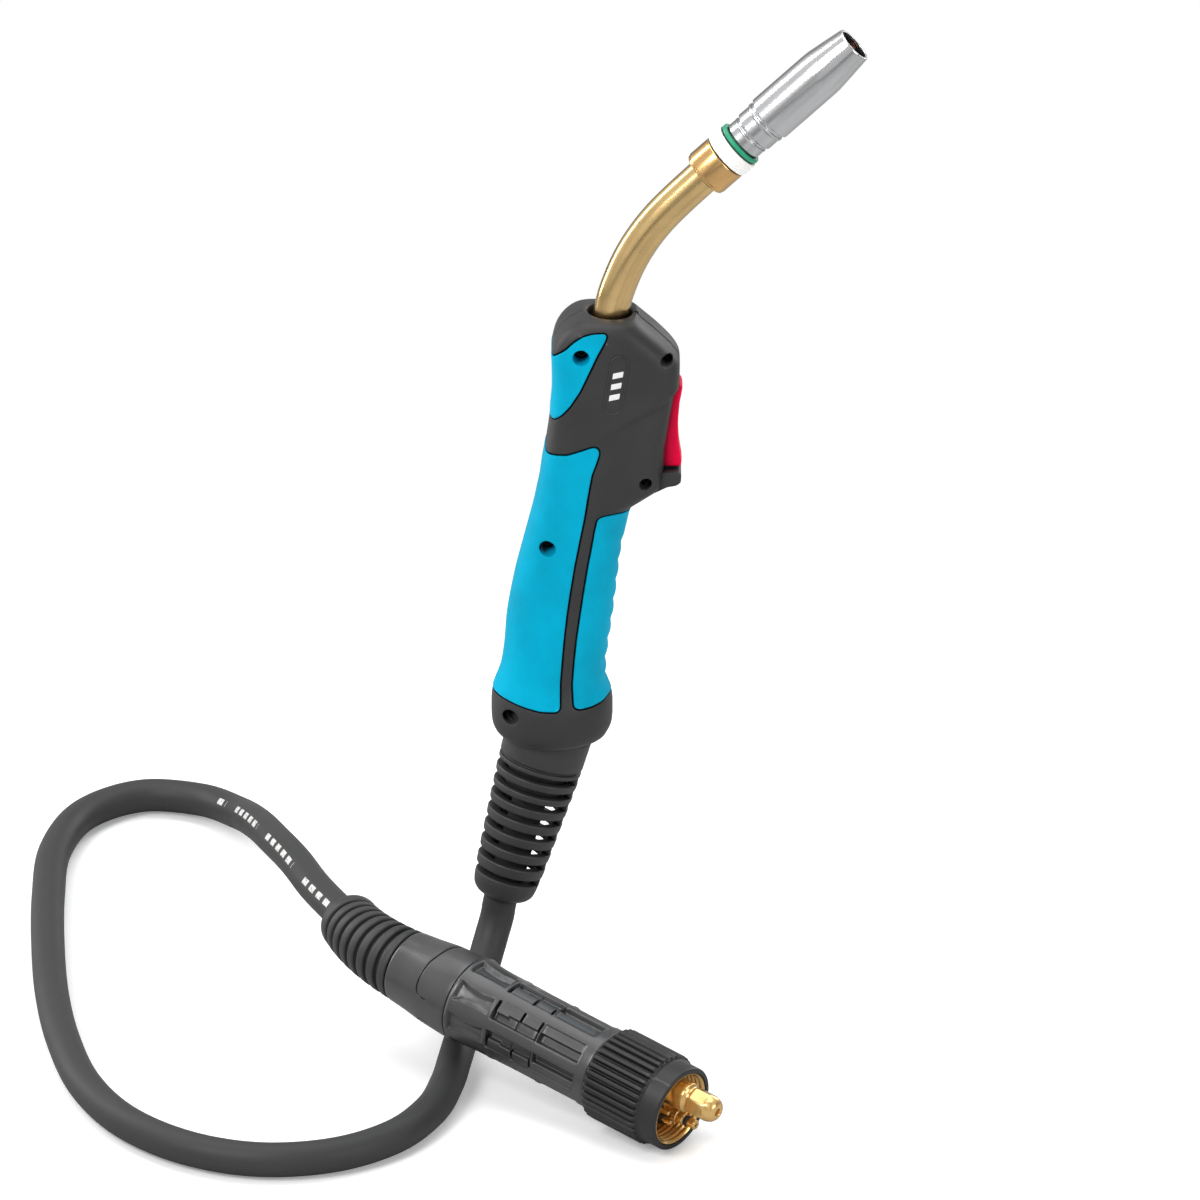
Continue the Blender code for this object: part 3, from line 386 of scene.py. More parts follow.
def fillet(profile, radius, steps=4, closed=False):
    """Round a profile's corners; a point may carry its own radius as a third number."""
    count = len(profile)
    made = []
    for index, point in enumerate(profile):
        own = point[2] if len(point) > 2 else radius
        here = np.array(point[:2], float)
        if not closed and index in (0, count - 1) or own <= 0.0:
            made.append(here)
            continue
        back = np.array(profile[index - 1][:2], float) - here
        on = np.array(profile[(index + 1) % count][:2], float) - here
        reach_back, reach_on = np.linalg.norm(back), np.linalg.norm(on)
        back, on = back / reach_back, on / reach_on
        if back @ on < STRAIGHT:
            made.append(here)
            continue
        cut = min(own, CUT_LIMIT * reach_back, CUT_LIMIT * reach_on)
        for step in range(steps + 1):
            t = step / steps
            made.append(here + back * cut * (1 - t) ** 2 + on * cut * t ** 2)
    return np.array(made)


def lathe(profile, sides=96, radius=0.3, closed=True, steps=4):
    """Turn a profile of radius and height about Z."""
    line = fillet(profile, radius, steps, closed)
    angle = turns(sides)
    points, faces, uvs = skin_rings([flat_ring(reach, angle, height) for reach, height in line], closed)
    uvs[:, 1] = np.repeat(run_of(line), sides)
    if not closed:
        for level, order in ((0, 1), (len(line) - 1, -1)):
            if line[level, 0] > 0.05:
                ring = [level * sides + side for side in range(sides)]
                faces.append(tuple(ring[::-order]))
    return points, faces, uvs


def turned(name, profile, look, where, body, nodes, sides=96, radius=0.3, closed=True, steps=4):
    """Make a turned piece."""
    add_piece(name, lathe(profile, sides, radius, closed, steps), look, where, body, nodes)


def smooth_line(controls, pieces):
    """Return a smooth line through control points."""
    controls = np.asarray(controls, float)
    padded = np.vstack([2 * controls[0] - controls[1], controls, 2 * controls[-1] - controls[-2]])
    line = []
    for index in range(1, len(padded) - 2):
        before, here, after, beyond = padded[index - 1:index + 3]
        bend = 2 * before - 5 * here + 4 * after - beyond
        twist = 3 * here - before - 3 * after + beyond
        for piece in range(pieces):
            t = piece / pieces
            line.append(0.5 * (2 * here + (after - before) * t + bend * t * t + twist * t ** 3))
    line.append(controls[-1])
    return np.array(line)


def even_line(line, step):
    """Return a line's points at even steps."""
    length = run_of(line)
    count = max(2, int(round(length[-1] / step)) + 1)
    at = np.linspace(0.0, length[-1], count)
    return np.stack([np.interp(at, length, line[:, axis]) for axis in range(line.shape[1])], -1)


def relax(rows, rounds):
    """Smooth rows in place between the first and the last."""
    for _ in range(rounds):
        rows[1:-1] = rows[1:-1] * 0.5 + (rows[:-2] + rows[2:]) * 0.25


def sweep(line, radius, sides, start=(0.0, 1.0, 0.0)):
    """Sweep a circle along a line without twist."""
    heading = np.gradient(line, axis=0)
    heading /= np.linalg.norm(heading, axis=1)[:, None]
    across = np.array(start, float)
    angle = turns(sides)[:, None]
    rings = []
    for centre, ahead in zip(line, heading):
        across = across - ahead * (across @ ahead)
        across /= np.linalg.norm(across)
        over = np.cross(ahead, across)
        rings.append(centre + radius * (np.cos(angle) * across + np.sin(angle) * over))
    points, faces, uvs = skin_rings(rings, False, True)
    uvs[:, 1] = np.repeat(run_of(line), sides)
    return points, faces, uvs


# ---------------------------------------------------------------- front end

COLLAR = ((8.0, 11.8), (10.1, 11.8), (10.5, 11.3), (10.5, 1.5), (10.2, 1.2), (10.2, 0.5), (9.8, 0.0),
          (7.7, 0.0), (7.7, 4.4), (3.0, 4.4), (3.0, 11.8))
INSULATOR = ((5.2, 31.5), (7.6, 31.5), (7.6, 18.9), (10.55, 18.9), (10.8, 18.4), (10.8, 12.9), (10.55, 12.3),
             (5.2, 12.3))
SEAL = ((7.95, 21.3), (9.9, 21.3), (10.3, 20.9), (10.3, 19.65), (9.9, 19.25), (7.95, 19.25))
HOLDER = ((2.2, 46.0), (4.3, 46.0), (4.8, 45.4), (4.8, 12.2), (2.2, 12.2))
DIFFUSER = ((5.2, 45.0), (6.0, 45.0), (6.5, 44.4), (6.5, 40.0), (6.2, 39.7), (6.2, 38.5), (6.5, 38.2),
            (6.5, 32.0), (5.2, 32.0))
TIP = ((0.6, 77.0), (2.3, 77.0), (2.6, 76.4), (4.0, 71.5), (4.0, 51.0), (3.7, 50.6), (3.7, 49.6), (4.0, 49.2),
       (4.0, 46.4), (0.6, 46.4))
NOZZLE = ((6.75, 84.6), (7.85, 84.6), (8.1, 84.2), (9.3, 75.0, 3.0), (10.22, 67.2, 2.5), (10.3, 64.0, 2.0),
          (10.3, 36.8), (9.9, 36.5), (9.2, 36.4), (9.1, 35.6), (9.1, 35.2), (9.75, 34.9), (9.8, 34.4),
          (9.8, 33.9), (9.35, 33.6), (9.4, 28.2), (9.2, 27.9), (8.5, 27.7), (8.3, 27.2), (8.3, 26.6),
          (8.95, 26.3), (9.0, 25.9), (8.8, 25.5), (8.8, 22.1), (8.6, 21.7), (8.0, 21.7), (8.0, 33.0),
          (8.4, 35.8), (8.6, 38.0), (9.1, 41.0), (9.1, 66.0), (6.75, 83.4))
FRONT_PIECES = (
    ("collar", "neck_collar", COLLAR, "collar_brass", "handle", 128, 0.25),
    ("insulator", "insulator_ring", INSULATOR, "insulator_white", "handle", 128, 0.3),
    ("seal", "seal_ring", SEAL, "seal_green", "handle", 128, 0.35),
    ("tip_carrier", "tip_holder", HOLDER, "collar_brass", "handle", 64, 0.2),
    ("diffuser", "gas_diffuser", DIFFUSER, "insulator_white", "handle", 64, 0.2),
    ("welding_tip", "contact_tip", TIP, "copper", "tip", 64, 0.25),
)
SPRING_TURNS, SPRING_R, SPRING_WIRE = 3.0, 7.3, 0.4
SPRING_FROM, SPRING_LONG = 36.0, 6.0


def build_front_end():
    """Make the collar, rings, tip and nozzle at the front of the neck."""
    for name, node, profile, look, body, sides, corner in FRONT_PIECES:
        turned(name, profile, look, FRONT, body, [node], sides, corner)
    turned("nozzle", NOZZLE, "chrome", FRONT, "nozzle", ["gas_nozzle"], 160, 0.25, steps=6)
    turn = np.linspace(0.0, SPRING_TURNS * math.tau, 150)
    height = SPRING_FROM + SPRING_LONG * turn / turn[-1]
    coil = np.stack([SPRING_R * np.cos(turn), SPRING_R * np.sin(turn), height], -1)
    spring = sweep(coil, SPRING_WIRE, 10, (1.0, 0.0, 0.0))
    add_piece("retaining_spring", spring, "steel", FRONT, "handle", ["nozzle_spring"])


NECK_LINE = (
    (22.6, 0.0, 179.0), (24.3, 0.0, 184.6), (25.6, 0.0, 191.9), (28.0, 0.0, 199.2), (31.6, 0.0, 208.2),
    (36.6, 0.0, 217.3), (43.2, 0.0, 226.6), (51.6, 0.0, 235.8), (63.1, 0.0, 247.0), (65.6, 0.0, 249.35),
)
NECK_R = 7.5
NECK_ROUNDS = 30


def build_neck():
    """Make the bent neck tube."""
    line = smooth_line(NECK_LINE, 10)
    relax(line, NECK_ROUNDS)
    add_piece("neck_tube", sweep(line, NECK_R, 96), "neck_brass", TORCH, "handle", ["swan_neck_tube"])


# ---------------------------------------------------------------- lead

BOOT_COLLAR = ((13.3, -5.6), (17.9, -5.6), (18.5, -6.4), (18.3, -12.0), (18.05, -18.8), (17.0, -19.2),
               (17.0, -19.9), (18.0, -20.3), (17.9, -22.1), (13.3, -22.1))
BOOT_CAP = ((8.4, -73.0), (13.9, -73.0), (13.8, -76.0, 2.0), (12.9, -79.8, 3.0), (10.6, -82.0, 1.5),
            (8.4, -82.5), (7.75, -82.5), (7.75, -73.6))
SLOT_LEVELS = (23.6, 29.9, 35.9, 42.7, 49.8, 56.9, 64.0, 71.6)
SLOT_HALF = 1.5
RING_WALL = 4.0
BRIDGE_ARC = math.radians(42.0)
BRIDGE_TURNS = (math.radians(-2.0), math.radians(128.0))
BRIDGE_OVERLAP = 0.4
BRIDGE_SET = 0.35
BRIDGE_THIN = 0.7
BOOT_TAPER = ((21.4, 18.1), (69.5, 14.6))


def boot_radius(distance):
    """Return the boot's outer radius at a distance below the ball's centre."""
    (top_at, top_r), (low_at, low_r) = BOOT_TAPER
    return top_r + (low_r - top_r) * (distance - top_at) / (low_at - top_at)


def arc_block(inner, outer, low, high, start, sweep_angle, steps=10):
    """Return a closed block of a ring."""
    angle = start + sweep_angle * np.arange(steps + 1) / steps
    corners = ((inner, low), (outer, low), (outer, high), (inner, high))
    rings = [[(r * math.cos(a), r * math.sin(a), z) for r, z in corners] for a in angle]
    return skin_rings(rings, False, True)


def boot_ring(level, following):
    """Return one ring of the boot, between two slots."""
    above = level + SLOT_HALF
    below = following - SLOT_HALF
    top_r, low_r = boot_radius(above), boot_radius(below)
    profile = ((top_r - RING_WALL, -above), (top_r - 0.3, -above), (top_r, -above - 0.5),
               (low_r, -below + 0.5), (low_r - 0.3, -below), (low_r - RING_WALL, -below))
    return lathe(profile, 128, 0.55)


def slot_bridge(level, turn):
    """Return the solid block that closes a stretch of a slot."""
    outer = boot_radius(level) - BRIDGE_SET
    low = -level - SLOT_HALF - BRIDGE_OVERLAP
    high = -level + SLOT_HALF + BRIDGE_OVERLAP
    return arc_block(outer - RING_WALL + BRIDGE_THIN, outer, low, high, turn - BRIDGE_ARC / 2.0, BRIDGE_ARC)


def build_boot():
    """Make the strain relief: collar, rings with open slots between them, and rounded cap."""
    parts = [lathe(BOOT_COLLAR, 128, 0.5)]
    parts += [boot_ring(*pair) for pair in zip(SLOT_LEVELS[:-1], SLOT_LEVELS[1:])]
    parts += [slot_bridge(level, turn) for level in SLOT_LEVELS for turn in BRIDGE_TURNS]
    parts.append(lathe(BOOT_CAP, 128, 0.6))
    add_piece("strain_relief", join(parts), "boot_rubber", LEAD, "lead", ["strain_relief_boot"])


BALL_R = 22.4
BALL_TOP, BALL_LOW = 10.0, -0.8
BALL_BORE = 8.2
BALL_TAIL = ((17.6, -5.0), (13.0, -5.2), (13.0, -32.4), (BALL_BORE, -32.4))


def build_ball():
    """Make the ball that the handle swivels on."""
    arc = np.linspace(math.asin(BALL_TOP / BALL_R), math.asin(BALL_LOW / BALL_R), 24)
    profile = [(BALL_BORE, BALL_TOP)]
    profile += [(BALL_R * math.cos(a), BALL_R * math.sin(a), 0.0) for a in arc]
    turned("ball", profile + list(BALL_TAIL), "boot_rubber", LEAD, "swivel", ["swivel_ball"], 128)


JUNCTION = -148.9
BOOT_BEND = math.radians(-34.0)
PLUG_BOOT_LENGTH = 45.0
CABLE_R = 7.25
FLOOR = -128.0 + CABLE_R
LEAD_PATH = (
    (-24.0, -9.8, -88.0), (-26.6, -13.4, -96.5), (-30.0, -21.5, -106.0), (-33.6, -34.5, -114.6),
    (-37.0, -50.5, -119.8), (-39.4, -66.0, FLOOR), (-41.6, -84.0, FLOOR), (-44.6, -106.0, FLOOR),
    (-51.0, -131.0, FLOOR), (-66.0, -156.0, FLOOR), (-91.0, -173.0, FLOOR), (-122.0, -177.0, FLOOR),
    (-152.0, -166.0, FLOOR), (-178.0, -142.0, FLOOR), (-196.0, -108.0, FLOOR), (-207.0, -66.0, FLOOR),
    (-214.0, -20.0, FLOOR), (-218.0, 30.0, FLOOR), (-220.0, 80.0, FLOOR), (-219.0, 125.0, FLOOR),
    (-208.0, 162.0, FLOOR), (-184.0, 182.0, FLOOR), (-157.0, 176.0, FLOOR + 1.0),
    (-140.0, 152.0, FLOOR + 6.0), (-130.0, 118.0, -104.5), (-121.0, 82.0, -96.0), (-111.5, 48.0, -90.0),
    (-101.5, 14.0, -87.0),
)


def plug_spine(count):
    """Return points and headings along the bent boot behind the plug, from the ball's centre."""
    at = PLUG_AT + NOSE * JUNCTION
    heading = -NOSE
    start = math.atan2(heading[1], heading[0])
    spine = [(at, heading)]
    for step in range(1, count + 1):
        share = (step - 0.5) / count
        turn = start + BOOT_BEND * share
        rise = math.sin(-PLUG_DIP) * (1.0 - share)
        flat = math.sqrt(1.0 - rise * rise)
        heading = np.array((flat * math.cos(turn), flat * math.sin(turn), rise))
        at = at + heading * (PLUG_BOOT_LENGTH / count)
        spine.append((at, heading))
    return spine


def spine_rings(profile, spine, sides):
    """Skin a profile of radius and share along a spine."""
    angle = turns(sides)[:, None]
    last = len(spine) - 1
    rings = []
    for radius, share in profile:
        place_at = min(max(share, 0.0), 1.0) * last
        low = min(int(place_at), last - 1)
        part = place_at - low
        at = spine[low][0] * (1 - part) + spine[low + 1][0] * part
        heading = spine[low][1] * (1 - part) + spine[low + 1][1] * part
        heading = heading / np.linalg.norm(heading)
        across = np.cross(heading, (0.0, 0.0, 1.0))
        across /= np.linalg.norm(across)
        over = np.cross(across, heading)
        rings.append(at + radius * (np.cos(angle) * across + np.sin(angle) * over))
    return skin_rings(rings, True)


RIB_COUNT = 8
RIB_R, RIB_NARROW, RIB_DEEP = 15.6, 2.9, 2.7
RIB_WIDE, LAST_RIB_WIDE = 0.66, 0.98
SLEEVE_BORE = 7.75


def build_plug_boot():
    """Make the ribbed bent boot behind the plug."""
    profile = []
    for rib in range(RIB_COUNT):
        start = rib / RIB_COUNT
        outer = RIB_R - RIB_NARROW * start
        inner = outer - RIB_DEEP
        wide = RIB_WIDE if rib < RIB_COUNT - 1 else LAST_RIB_WIDE
        for radius, share in ((inner, 0.0), (outer - 0.7, 0.0), (outer - 0.15, 0.05), (outer, 0.14),
                              (outer - 0.1, wide - 0.14), (outer - 0.3, wide - 0.05),
                              (outer - 0.9, wide), (inner, wide)):
            profile.append((radius, start + share / RIB_COUNT))
    profile += [(8.4, 1.0)] + [(SLEEVE_BORE, share) for share in (0.995, 0.75, 0.5, 0.25, 0.0)]
    sleeve = spine_rings(profile, plug_spine(48), 96)
    add_piece("plug_sleeve", sleeve, "boot_rubber", TORCH, "lead", ["plug_boot"])


CABLE_IN_BALL = (-8.0, 20.0, 50.0, 83.0)
CABLE_IN_PLUG = (4.0, 30.0, 62.0)


def build_cable():
    """Make the lead, from inside the ball over the floor and into the plug."""
    spine = plug_spine(24)
    line = [tuple(-LEAD_AXIS * distance) for distance in CABLE_IN_BALL]
    line += list(LEAD_PATH) + [tuple(spine[-1][0] + spine[-1][1])]
    line += [tuple(spine[index][0]) for index in (20, 14, 8, 2)]
    line += [tuple(spine[0][0] + NOSE * reach) for reach in CABLE_IN_PLUG]
    cable = sweep(even_line(smooth_line(line, 12), 2.0), CABLE_R, 48, (1.0, 0.0, 0.0))
    add_piece("lead_cable", cable, "cable_rubber", TORCH, "lead", ["cable"])


# ---------------------------------------------------------------- plug

NUT_RIBS, RIB_POINTS = 36, 12
NUT_PROFILE = ((17.3, 0.3), (18.2, 0.3), (18.6, -0.3), (18.6, -8.2), (18.9, -8.7), (19.35, -9.0),
               (19.5, -9.8), (19.5, -36.4), (19.2, -37.4), (18.6, -38.0), (16.0, -38.0), (13.0, -38.0),
               (13.0, -26.4), (16.4, -26.4), (16.4, 0.3))
NUT_GROOVE = 1.0
NUT_RISE = 0.8
NUT_KNURL_R = 18.8
KNURL_FRONT, KNURL_BACK = (-8.9, 1.1), (-37.6, 0.8)
THREAD_TURNS, THREAD_FROM, THREAD_PITCH = 5, -11.4, 2.2
THREAD_FORM = ((15.65, 0.0, 0.1), (15.65, 0.5, 0.1), (14.85, 1.1, 0.15), (14.85, 1.5, 0.15))


def knurl_wave(height, rib):
    """Return how far the nut's ribs stand out at a height."""
    front = min(1.0, max(0.0, (KNURL_FRONT[0] - height) / KNURL_FRONT[1]))
    back = min(1.0, max(0.0, (height - KNURL_BACK[0]) / KNURL_BACK[1]))
    return (rib * (NUT_RISE + NUT_GROOVE) - NUT_GROOVE) * min(front, back)


def smooth_step(share):
    """Ease a share of 0 to 1 at both ends."""
    return share * share * (3 - 2 * share)


def build_nut():
    """Make the ribbed adaptor nut and its threaded insert."""
    line = fillet(NUT_PROFILE, 0.3, 3, True)
    dense = []
    for here, after in zip(line, np.roll(line, -1, 0)):
        pieces = max(1, int(np.linalg.norm(after - here) / 3.0))
        dense += [here + (after - here) * piece / pieces for piece in range(pieces)]
    angle = turns(NUT_RIBS * RIB_POINTS)
    phase = (np.arange(len(angle)) % RIB_POINTS) / RIB_POINTS
    rib = smooth_step(np.clip((0.5 - np.abs(phase - 0.5)) * 5.2 - 0.55, 0.0, 1.0))
    rings = []
    for radius, height in dense:
        wave = knurl_wave(height, rib) if radius > NUT_KNURL_R else 0.0
        rings.append(flat_ring(radius + wave, angle, height))
    add_piece("nut", skin_rings(rings, True), "nut_black", PLUG, "nut", ["adaptor_nut"])
    thread = [(16.1, -26.0), (15.1, -26.0), (15.1, -11.6)]
    for turn in range(THREAD_TURNS):
        low = THREAD_FROM + THREAD_PITCH * turn
        thread += [(radius, low + rise, corner) for radius, rise, corner in THREAD_FORM]
    thread += [(15.6, -0.3), (15.9, 0.0), (16.1, -0.2)]
    turned("threaded_insert", thread, "plug_brass", PLUG, "nut", ["nut_insert"], 128, 0.15)


PLUG_FACE = ((3.0, -9.8), (13.9, -9.8), (14.5, -10.4), (14.5, -14.0), (12.6, -14.5), (12.6, -58.0),
             (3.0, -58.0))
FACE_CENTRE = ((0.0, -9.82), (3.2, -9.82), (3.2, -14.0), (0.0, -14.0))
MAIN_PIN = (2.5, 5.5)
# Height, radius and share of the hexagon, from the pin's base over its nose into its bore.
MAIN_PIN_LEVELS = (
    (-9.7, 6.5, 0.0), (1.9, 6.5, 0.0), (2.3, 6.35, 0.0), (2.6, 5.9, 0.0), (2.9, 5.4, 0.0), (4.0, 5.3, 0.0),
    (4.3, 5.4, 0.6), (4.7, 6.1, 1.0), (5.1, 6.25, 1.0), (11.6, 6.25, 1.0), (12.3, 6.1, 0.9),
    (12.9, 5.85, 0.4), (13.6, 5.6, 0.0), (14.6, 5.3, 0.0), (15.5, 4.9, 0.0), (16.2, 4.35, 0.0),
    (16.8, 3.6, 0.0), (17.1, 2.7, 0.0), (17.15, 2.0, 0.0), (17.0, 1.65, 0.0),
    (16.5, 1.5, 0.0), (9.0, 1.5, 0.0), (8.6, 0.6, 0.0), (8.5, 0.05, 0.0),
)
HEX_FLAT, HEX_CORNER = 5.5, 6.2
NIPPLE_AT = (6.3, -8.4)
NIPPLE = ((0.8, 4.6), (1.8, 4.6), (2.15, 4.1), (2.15, 0.9), (1.5, 0.7), (1.5, -1.0), (2.2, -1.15),
          (2.75, -1.9), (2.75, -4.2), (2.4, -4.6), (2.95, -5.0), (2.95, -9.75), (0.8, -9.75))
NIPPLE_SEAL = (2.0, -0.15, 0.55, 0.8)
CONTROL_PINS = ((-1.6, -3.6), (1.0, -9.3))
CONTROL_PIN = ((0.0, -4.2), (0.85, -4.25), (1.15, -4.7), (1.15, -20.0), (0.0, -20.0))
PIN_SLEEVE = ((1.25, -9.0), (2.2, -9.0), (2.5, -9.3), (2.5, -21.0), (1.5, -21.0), (1.5, -9.8))


def hex_reach(angle, flat, limit):
    """Return the radius of a hexagon with rounded corners at each angle."""
    within = (angle + math.pi / 6.0) % (math.pi / 3.0) - math.pi / 6.0
    return np.minimum(limit, flat / np.cos(within))


def main_pin_rings():
    """Return the sections of the main pin: base, hexagon, round nose and its bore."""
    angle = turns(96)
    hexagon = hex_reach(angle, HEX_FLAT, HEX_CORNER)
    rings = []
    for height, radius, share in MAIN_PIN_LEVELS:
        reach = radius * (1 - share) + np.minimum(hexagon, radius) * share
        rings.append(flat_ring(reach, angle, height))
    return rings


def build_contacts():
    """Make the brass face of the plug with its pins."""
    turned("plug_face", PLUG_FACE, "plug_brass", PLUG, "lead", ["plug_body"], 128, 0.25)
    turned("plug_face_centre", FACE_CENTRE, "plug_brass", PLUG, "lead", [], 48, 0.0, False)
    pin = skin_rings(main_pin_rings(), False, True)
    add_piece("centre_pin", pin, "plug_brass", PLUG @ move_by(*MAIN_PIN, 0.0), "lead", ["main_pin"])
    at = PLUG @ move_by(*NIPPLE_AT, 0.0)
    turned("gas_stub", NIPPLE, "plug_brass", at, "lead", ["gas_nipple"], 64, 0.2)
    middle, height, wide, tall = NIPPLE_SEAL
    ring = [(middle + wide * math.cos(a), height - tall * math.sin(a), 0.0) for a in turns(16)]
    turned("stub_seal", ring, "boot_rubber", at, "lead", ["nipple_seal"], 64, 0.0)
    for index, spot in enumerate(CONTROL_PINS):
        number = "_%d" % (index + 1)
        at = PLUG @ move_by(*spot, 0.0)
        turned("pin_sleeve" + number, PIN_SLEEVE, "nut_black", at, "lead",
               ["pin_insulator" + number], 48, 0.15)
        turned("contact_pin" + number, CONTROL_PIN, "plug_brass", at, "pin" + number,
               ["control_pin" + number], 48, 0.25, False)


# ---------------------------------------------------------------- patches of skin


def winding(points, loop):
    """Return which points lie inside a closed loop."""
    x, y = points[:, 0][:, None], points[:, 1][:, None]
    ax, ay = loop[:, 0], loop[:, 1]
    bx, by = np.roll(ax, -1), np.roll(ay, -1)
    crosses = (ay > y) != (by > y)
    with np.errstate(divide="ignore", invalid="ignore"):
        at = ax + (y - ay) * (bx - ax) / (by - ay)
    return (np.sum(crosses & (x < at), axis=1) % 2) == 1


def signed_distance(points, loop):
    """Return the distance to a closed loop, positive inside."""
    made = np.empty(len(points))
    start, stop = loop, np.roll(loop, -1, 0)
    edge = stop - start
    size = np.maximum(1e-12, (edge ** 2).sum(1))
    for low in range(0, len(points), 4000):
        part = points[low:low + 4000]
        offset = part[:, None, :] - start[None]
        share = np.clip((offset * edge).sum(2) / size, 0.0, 1.0)
        gap = offset - share[..., None] * edge
        made[low:low + 4000] = np.sqrt((gap ** 2).sum(2).min(1))
    return np.where(winding(points, loop), made, -made)


def resample(loop, step):
    """Return a closed loop with even steps."""
    return even_line(np.vstack([loop, loop[:1]]), step)[:-1]


def soften(loop, radius, step):
    """Return a closed loop with its corners rounded."""
    loop = resample(np.asarray(loop, float), step)
    rounds = int((radius / step) ** 2 * 1.2) + 1
    for _ in range(rounds):
        loop = loop * 0.5 + (np.roll(loop, 1, 0) + np.roll(loop, -1, 0)) * 0.25
    return loop


def inward_of(loop):
    """Return the direction into a closed loop at each of its points, and its turning sense."""
    ahead = np.roll(loop, -1, 0) - np.roll(loop, 1, 0)
    ahead /= np.maximum(1e-9, np.linalg.norm(ahead, axis=1))[:, None]
    area = np.sum(loop[:, 0] * np.roll(loop[:, 1], -1) - np.roll(loop[:, 0], -1) * loop[:, 1])
    return np.stack([-ahead[:, 1], ahead[:, 0]], -1) * np.sign(area), np.sign(area)


def offset_loop(loop, distance, step):
    """Return a loop moved inward by a distance, without its tangles."""
    loop = resample(loop, step)
    moved = loop + inward_of(loop)[0] * distance
    keep = np.abs(signed_distance(moved, loop)) > abs(distance) * 0.93 - 1e-6
    return moved[keep]


def rounded_edge(depth, radius, drop):
    """Return how far a surface falls near its edge, for a rounded edge."""
    share = np.clip(1.0 - depth / radius, 0.0, 1.0)
    return -drop * (1.0 - np.sqrt(np.maximum(0.0, 1.0 - share ** 2)))


def kept_points(faces, count):
    """Return the points that faces use, and each point's new number."""
    used = np.unique(faces)
    numbers = -np.ones(count, int)
    numbers[used] = np.arange(len(used))
    return used, numbers


def close_skin(outside, inside, faces, flip):
    """Return a closed body from a skin, its inner copy and the walls between them."""
    used, numbers = kept_points(faces, len(outside))
    faces = numbers[faces]
    count = len(used)
    if flip:
        faces = faces[:, ::-1]
    edges = {}
    for face in faces:
        for i in range(3):
            edges[(face[i], face[(i + 1) % 3])] = True
    walls = [(b, a, a + count, b + count) for a, b in edges if (b, a) not in edges]
    made = [tuple(face) for face in faces]
    made += [tuple(face[::-1] + count) for face in faces]
    made += walls
    return np.vstack([outside[used], inside[used]]), made, used


# ---------------------------------------------------------------- handle form

SHELL_ROWS = (
    (-4.2, -24.2, 23.0, 23.6, 2.0), (-2.6, -25.3, 24.1, 24.7, 2.0), (0.2, -26.1, 24.9, 25.5, 2.0),
    (3.6, -26.3, 25.1, 25.7, 2.0), (9.1, -26.3, 25.1, 25.7, 2.0),
    (13.5, -25.9, 24.4, 25.1, 2.0), (17.0, -24.8, 22.9, 23.8, 2.05), (20.5, -23.4, 22.1, 22.3, 2.1),
    (25.4, -21.9, 22.1, 21.0, 2.15), (36.2, -20.4, 23.2, 20.0, 2.25), (47.1, -19.6, 24.7, 19.6, 2.3),
    (57.9, -17.9, 26.0, 19.4, 2.35), (68.8, -15.7, 27.2, 19.3, 2.4), (79.7, -13.0, 28.5, 19.2, 2.4),
    (90.5, -10.2, 30.6, 19.1, 2.5), (99.6, -7.9, 32.8, 19.0, 2.7), (105.9, -6.6, 40.9, 19.0, 2.9),
    (110.5, -5.6, 46.4, 19.0, 3.1), (117.0, -4.7, 46.7, 19.0, 3.4), (125.0, -3.3, 47.2, 19.0, 3.8),
    (132.2, -2.2, 48.5, 19.0, 4.0), (139.4, -1.3, 50.0, 19.0, 4.0), (153.9, -0.2, 52.8, 19.0, 4.0),
    (165.0, -0.3, 53.1, 19.0, 4.0), (169.5, -0.5, 50.9, 19.0, 3.9), (173.5, 0.2, 47.4, 18.9, 3.8),
    (177.0, 1.4, 43.9, 18.6, 3.7), (180.3, 3.5, 40.2, 18.1, 3.6), (182.8, 6.0, 37.4, 17.4, 3.5),
    (184.6, 8.6, 35.8, 16.2, 3.3), (185.6, 10.6, 35.0, 14.4, 3.0), (186.0, 11.9, 34.8, 12.4, 2.5),
)
HEAD_FROM, HEAD_TO = 160.0, 174.0
HEAD_BACK_SQUARENESS = 5.6
LIP_ROWS = ((-0.5, 22.78), (-3.2, 22.57), (-4.6, 22.36), (-4.95, 22.6), (-4.95, 23.0))
MOUTH_AT = np.array((23.8, 0.0, 186.4))
MOUTH_LEAN = math.radians(3.0)
RIM_ROWS = ((10.9, -0.35), (10.5, -0.05), (10.15, 0.05), (9.85, -0.05), (9.6, -0.35), (9.4, -1.0),
            (9.4, -7.0))
ACROSS_COUNT = 161
ALONG_STEP = 0.5
SPLIT_GAP, INNER_GAP = 0.3, 0.02
FACE_RISE = 0.12
BESIDE = 0.3
RUN_PAST = 3.0


def steady_curve(x, y, at):
    """Interpolate without overshoot (monotone cubic)."""
    gap = np.diff(x)
    slope = np.diff(y) / gap
    tangent = np.concatenate([[slope[0]], np.zeros(len(x) - 2), [slope[-1]]])
    for i in range(1, len(x) - 1):
        if slope[i - 1] * slope[i] > 0:
            first, second = 2 * gap[i] + gap[i - 1], gap[i] + 2 * gap[i - 1]
            tangent[i] = (first + second) / (first / slope[i - 1] + second / slope[i])
    i = np.clip(np.searchsorted(x, at) - 1, 0, len(x) - 2)
    t = (at - x[i]) / gap[i]
    return (y[i] * (1 + 2 * t) * (1 - t) ** 2 + tangent[i] * gap[i] * t * (1 - t) ** 2
            + y[i + 1] * t * t * (3 - 2 * t) + tangent[i + 1] * gap[i] * t * t * (t - 1))


def even_row(row):
    """Return a section's points at even steps."""
    length = run_of(row)
    at = np.linspace(0.0, length[-1], ACROSS_COUNT)
    return np.stack([np.interp(at, length, row[:, axis]) for axis in range(3)], -1)


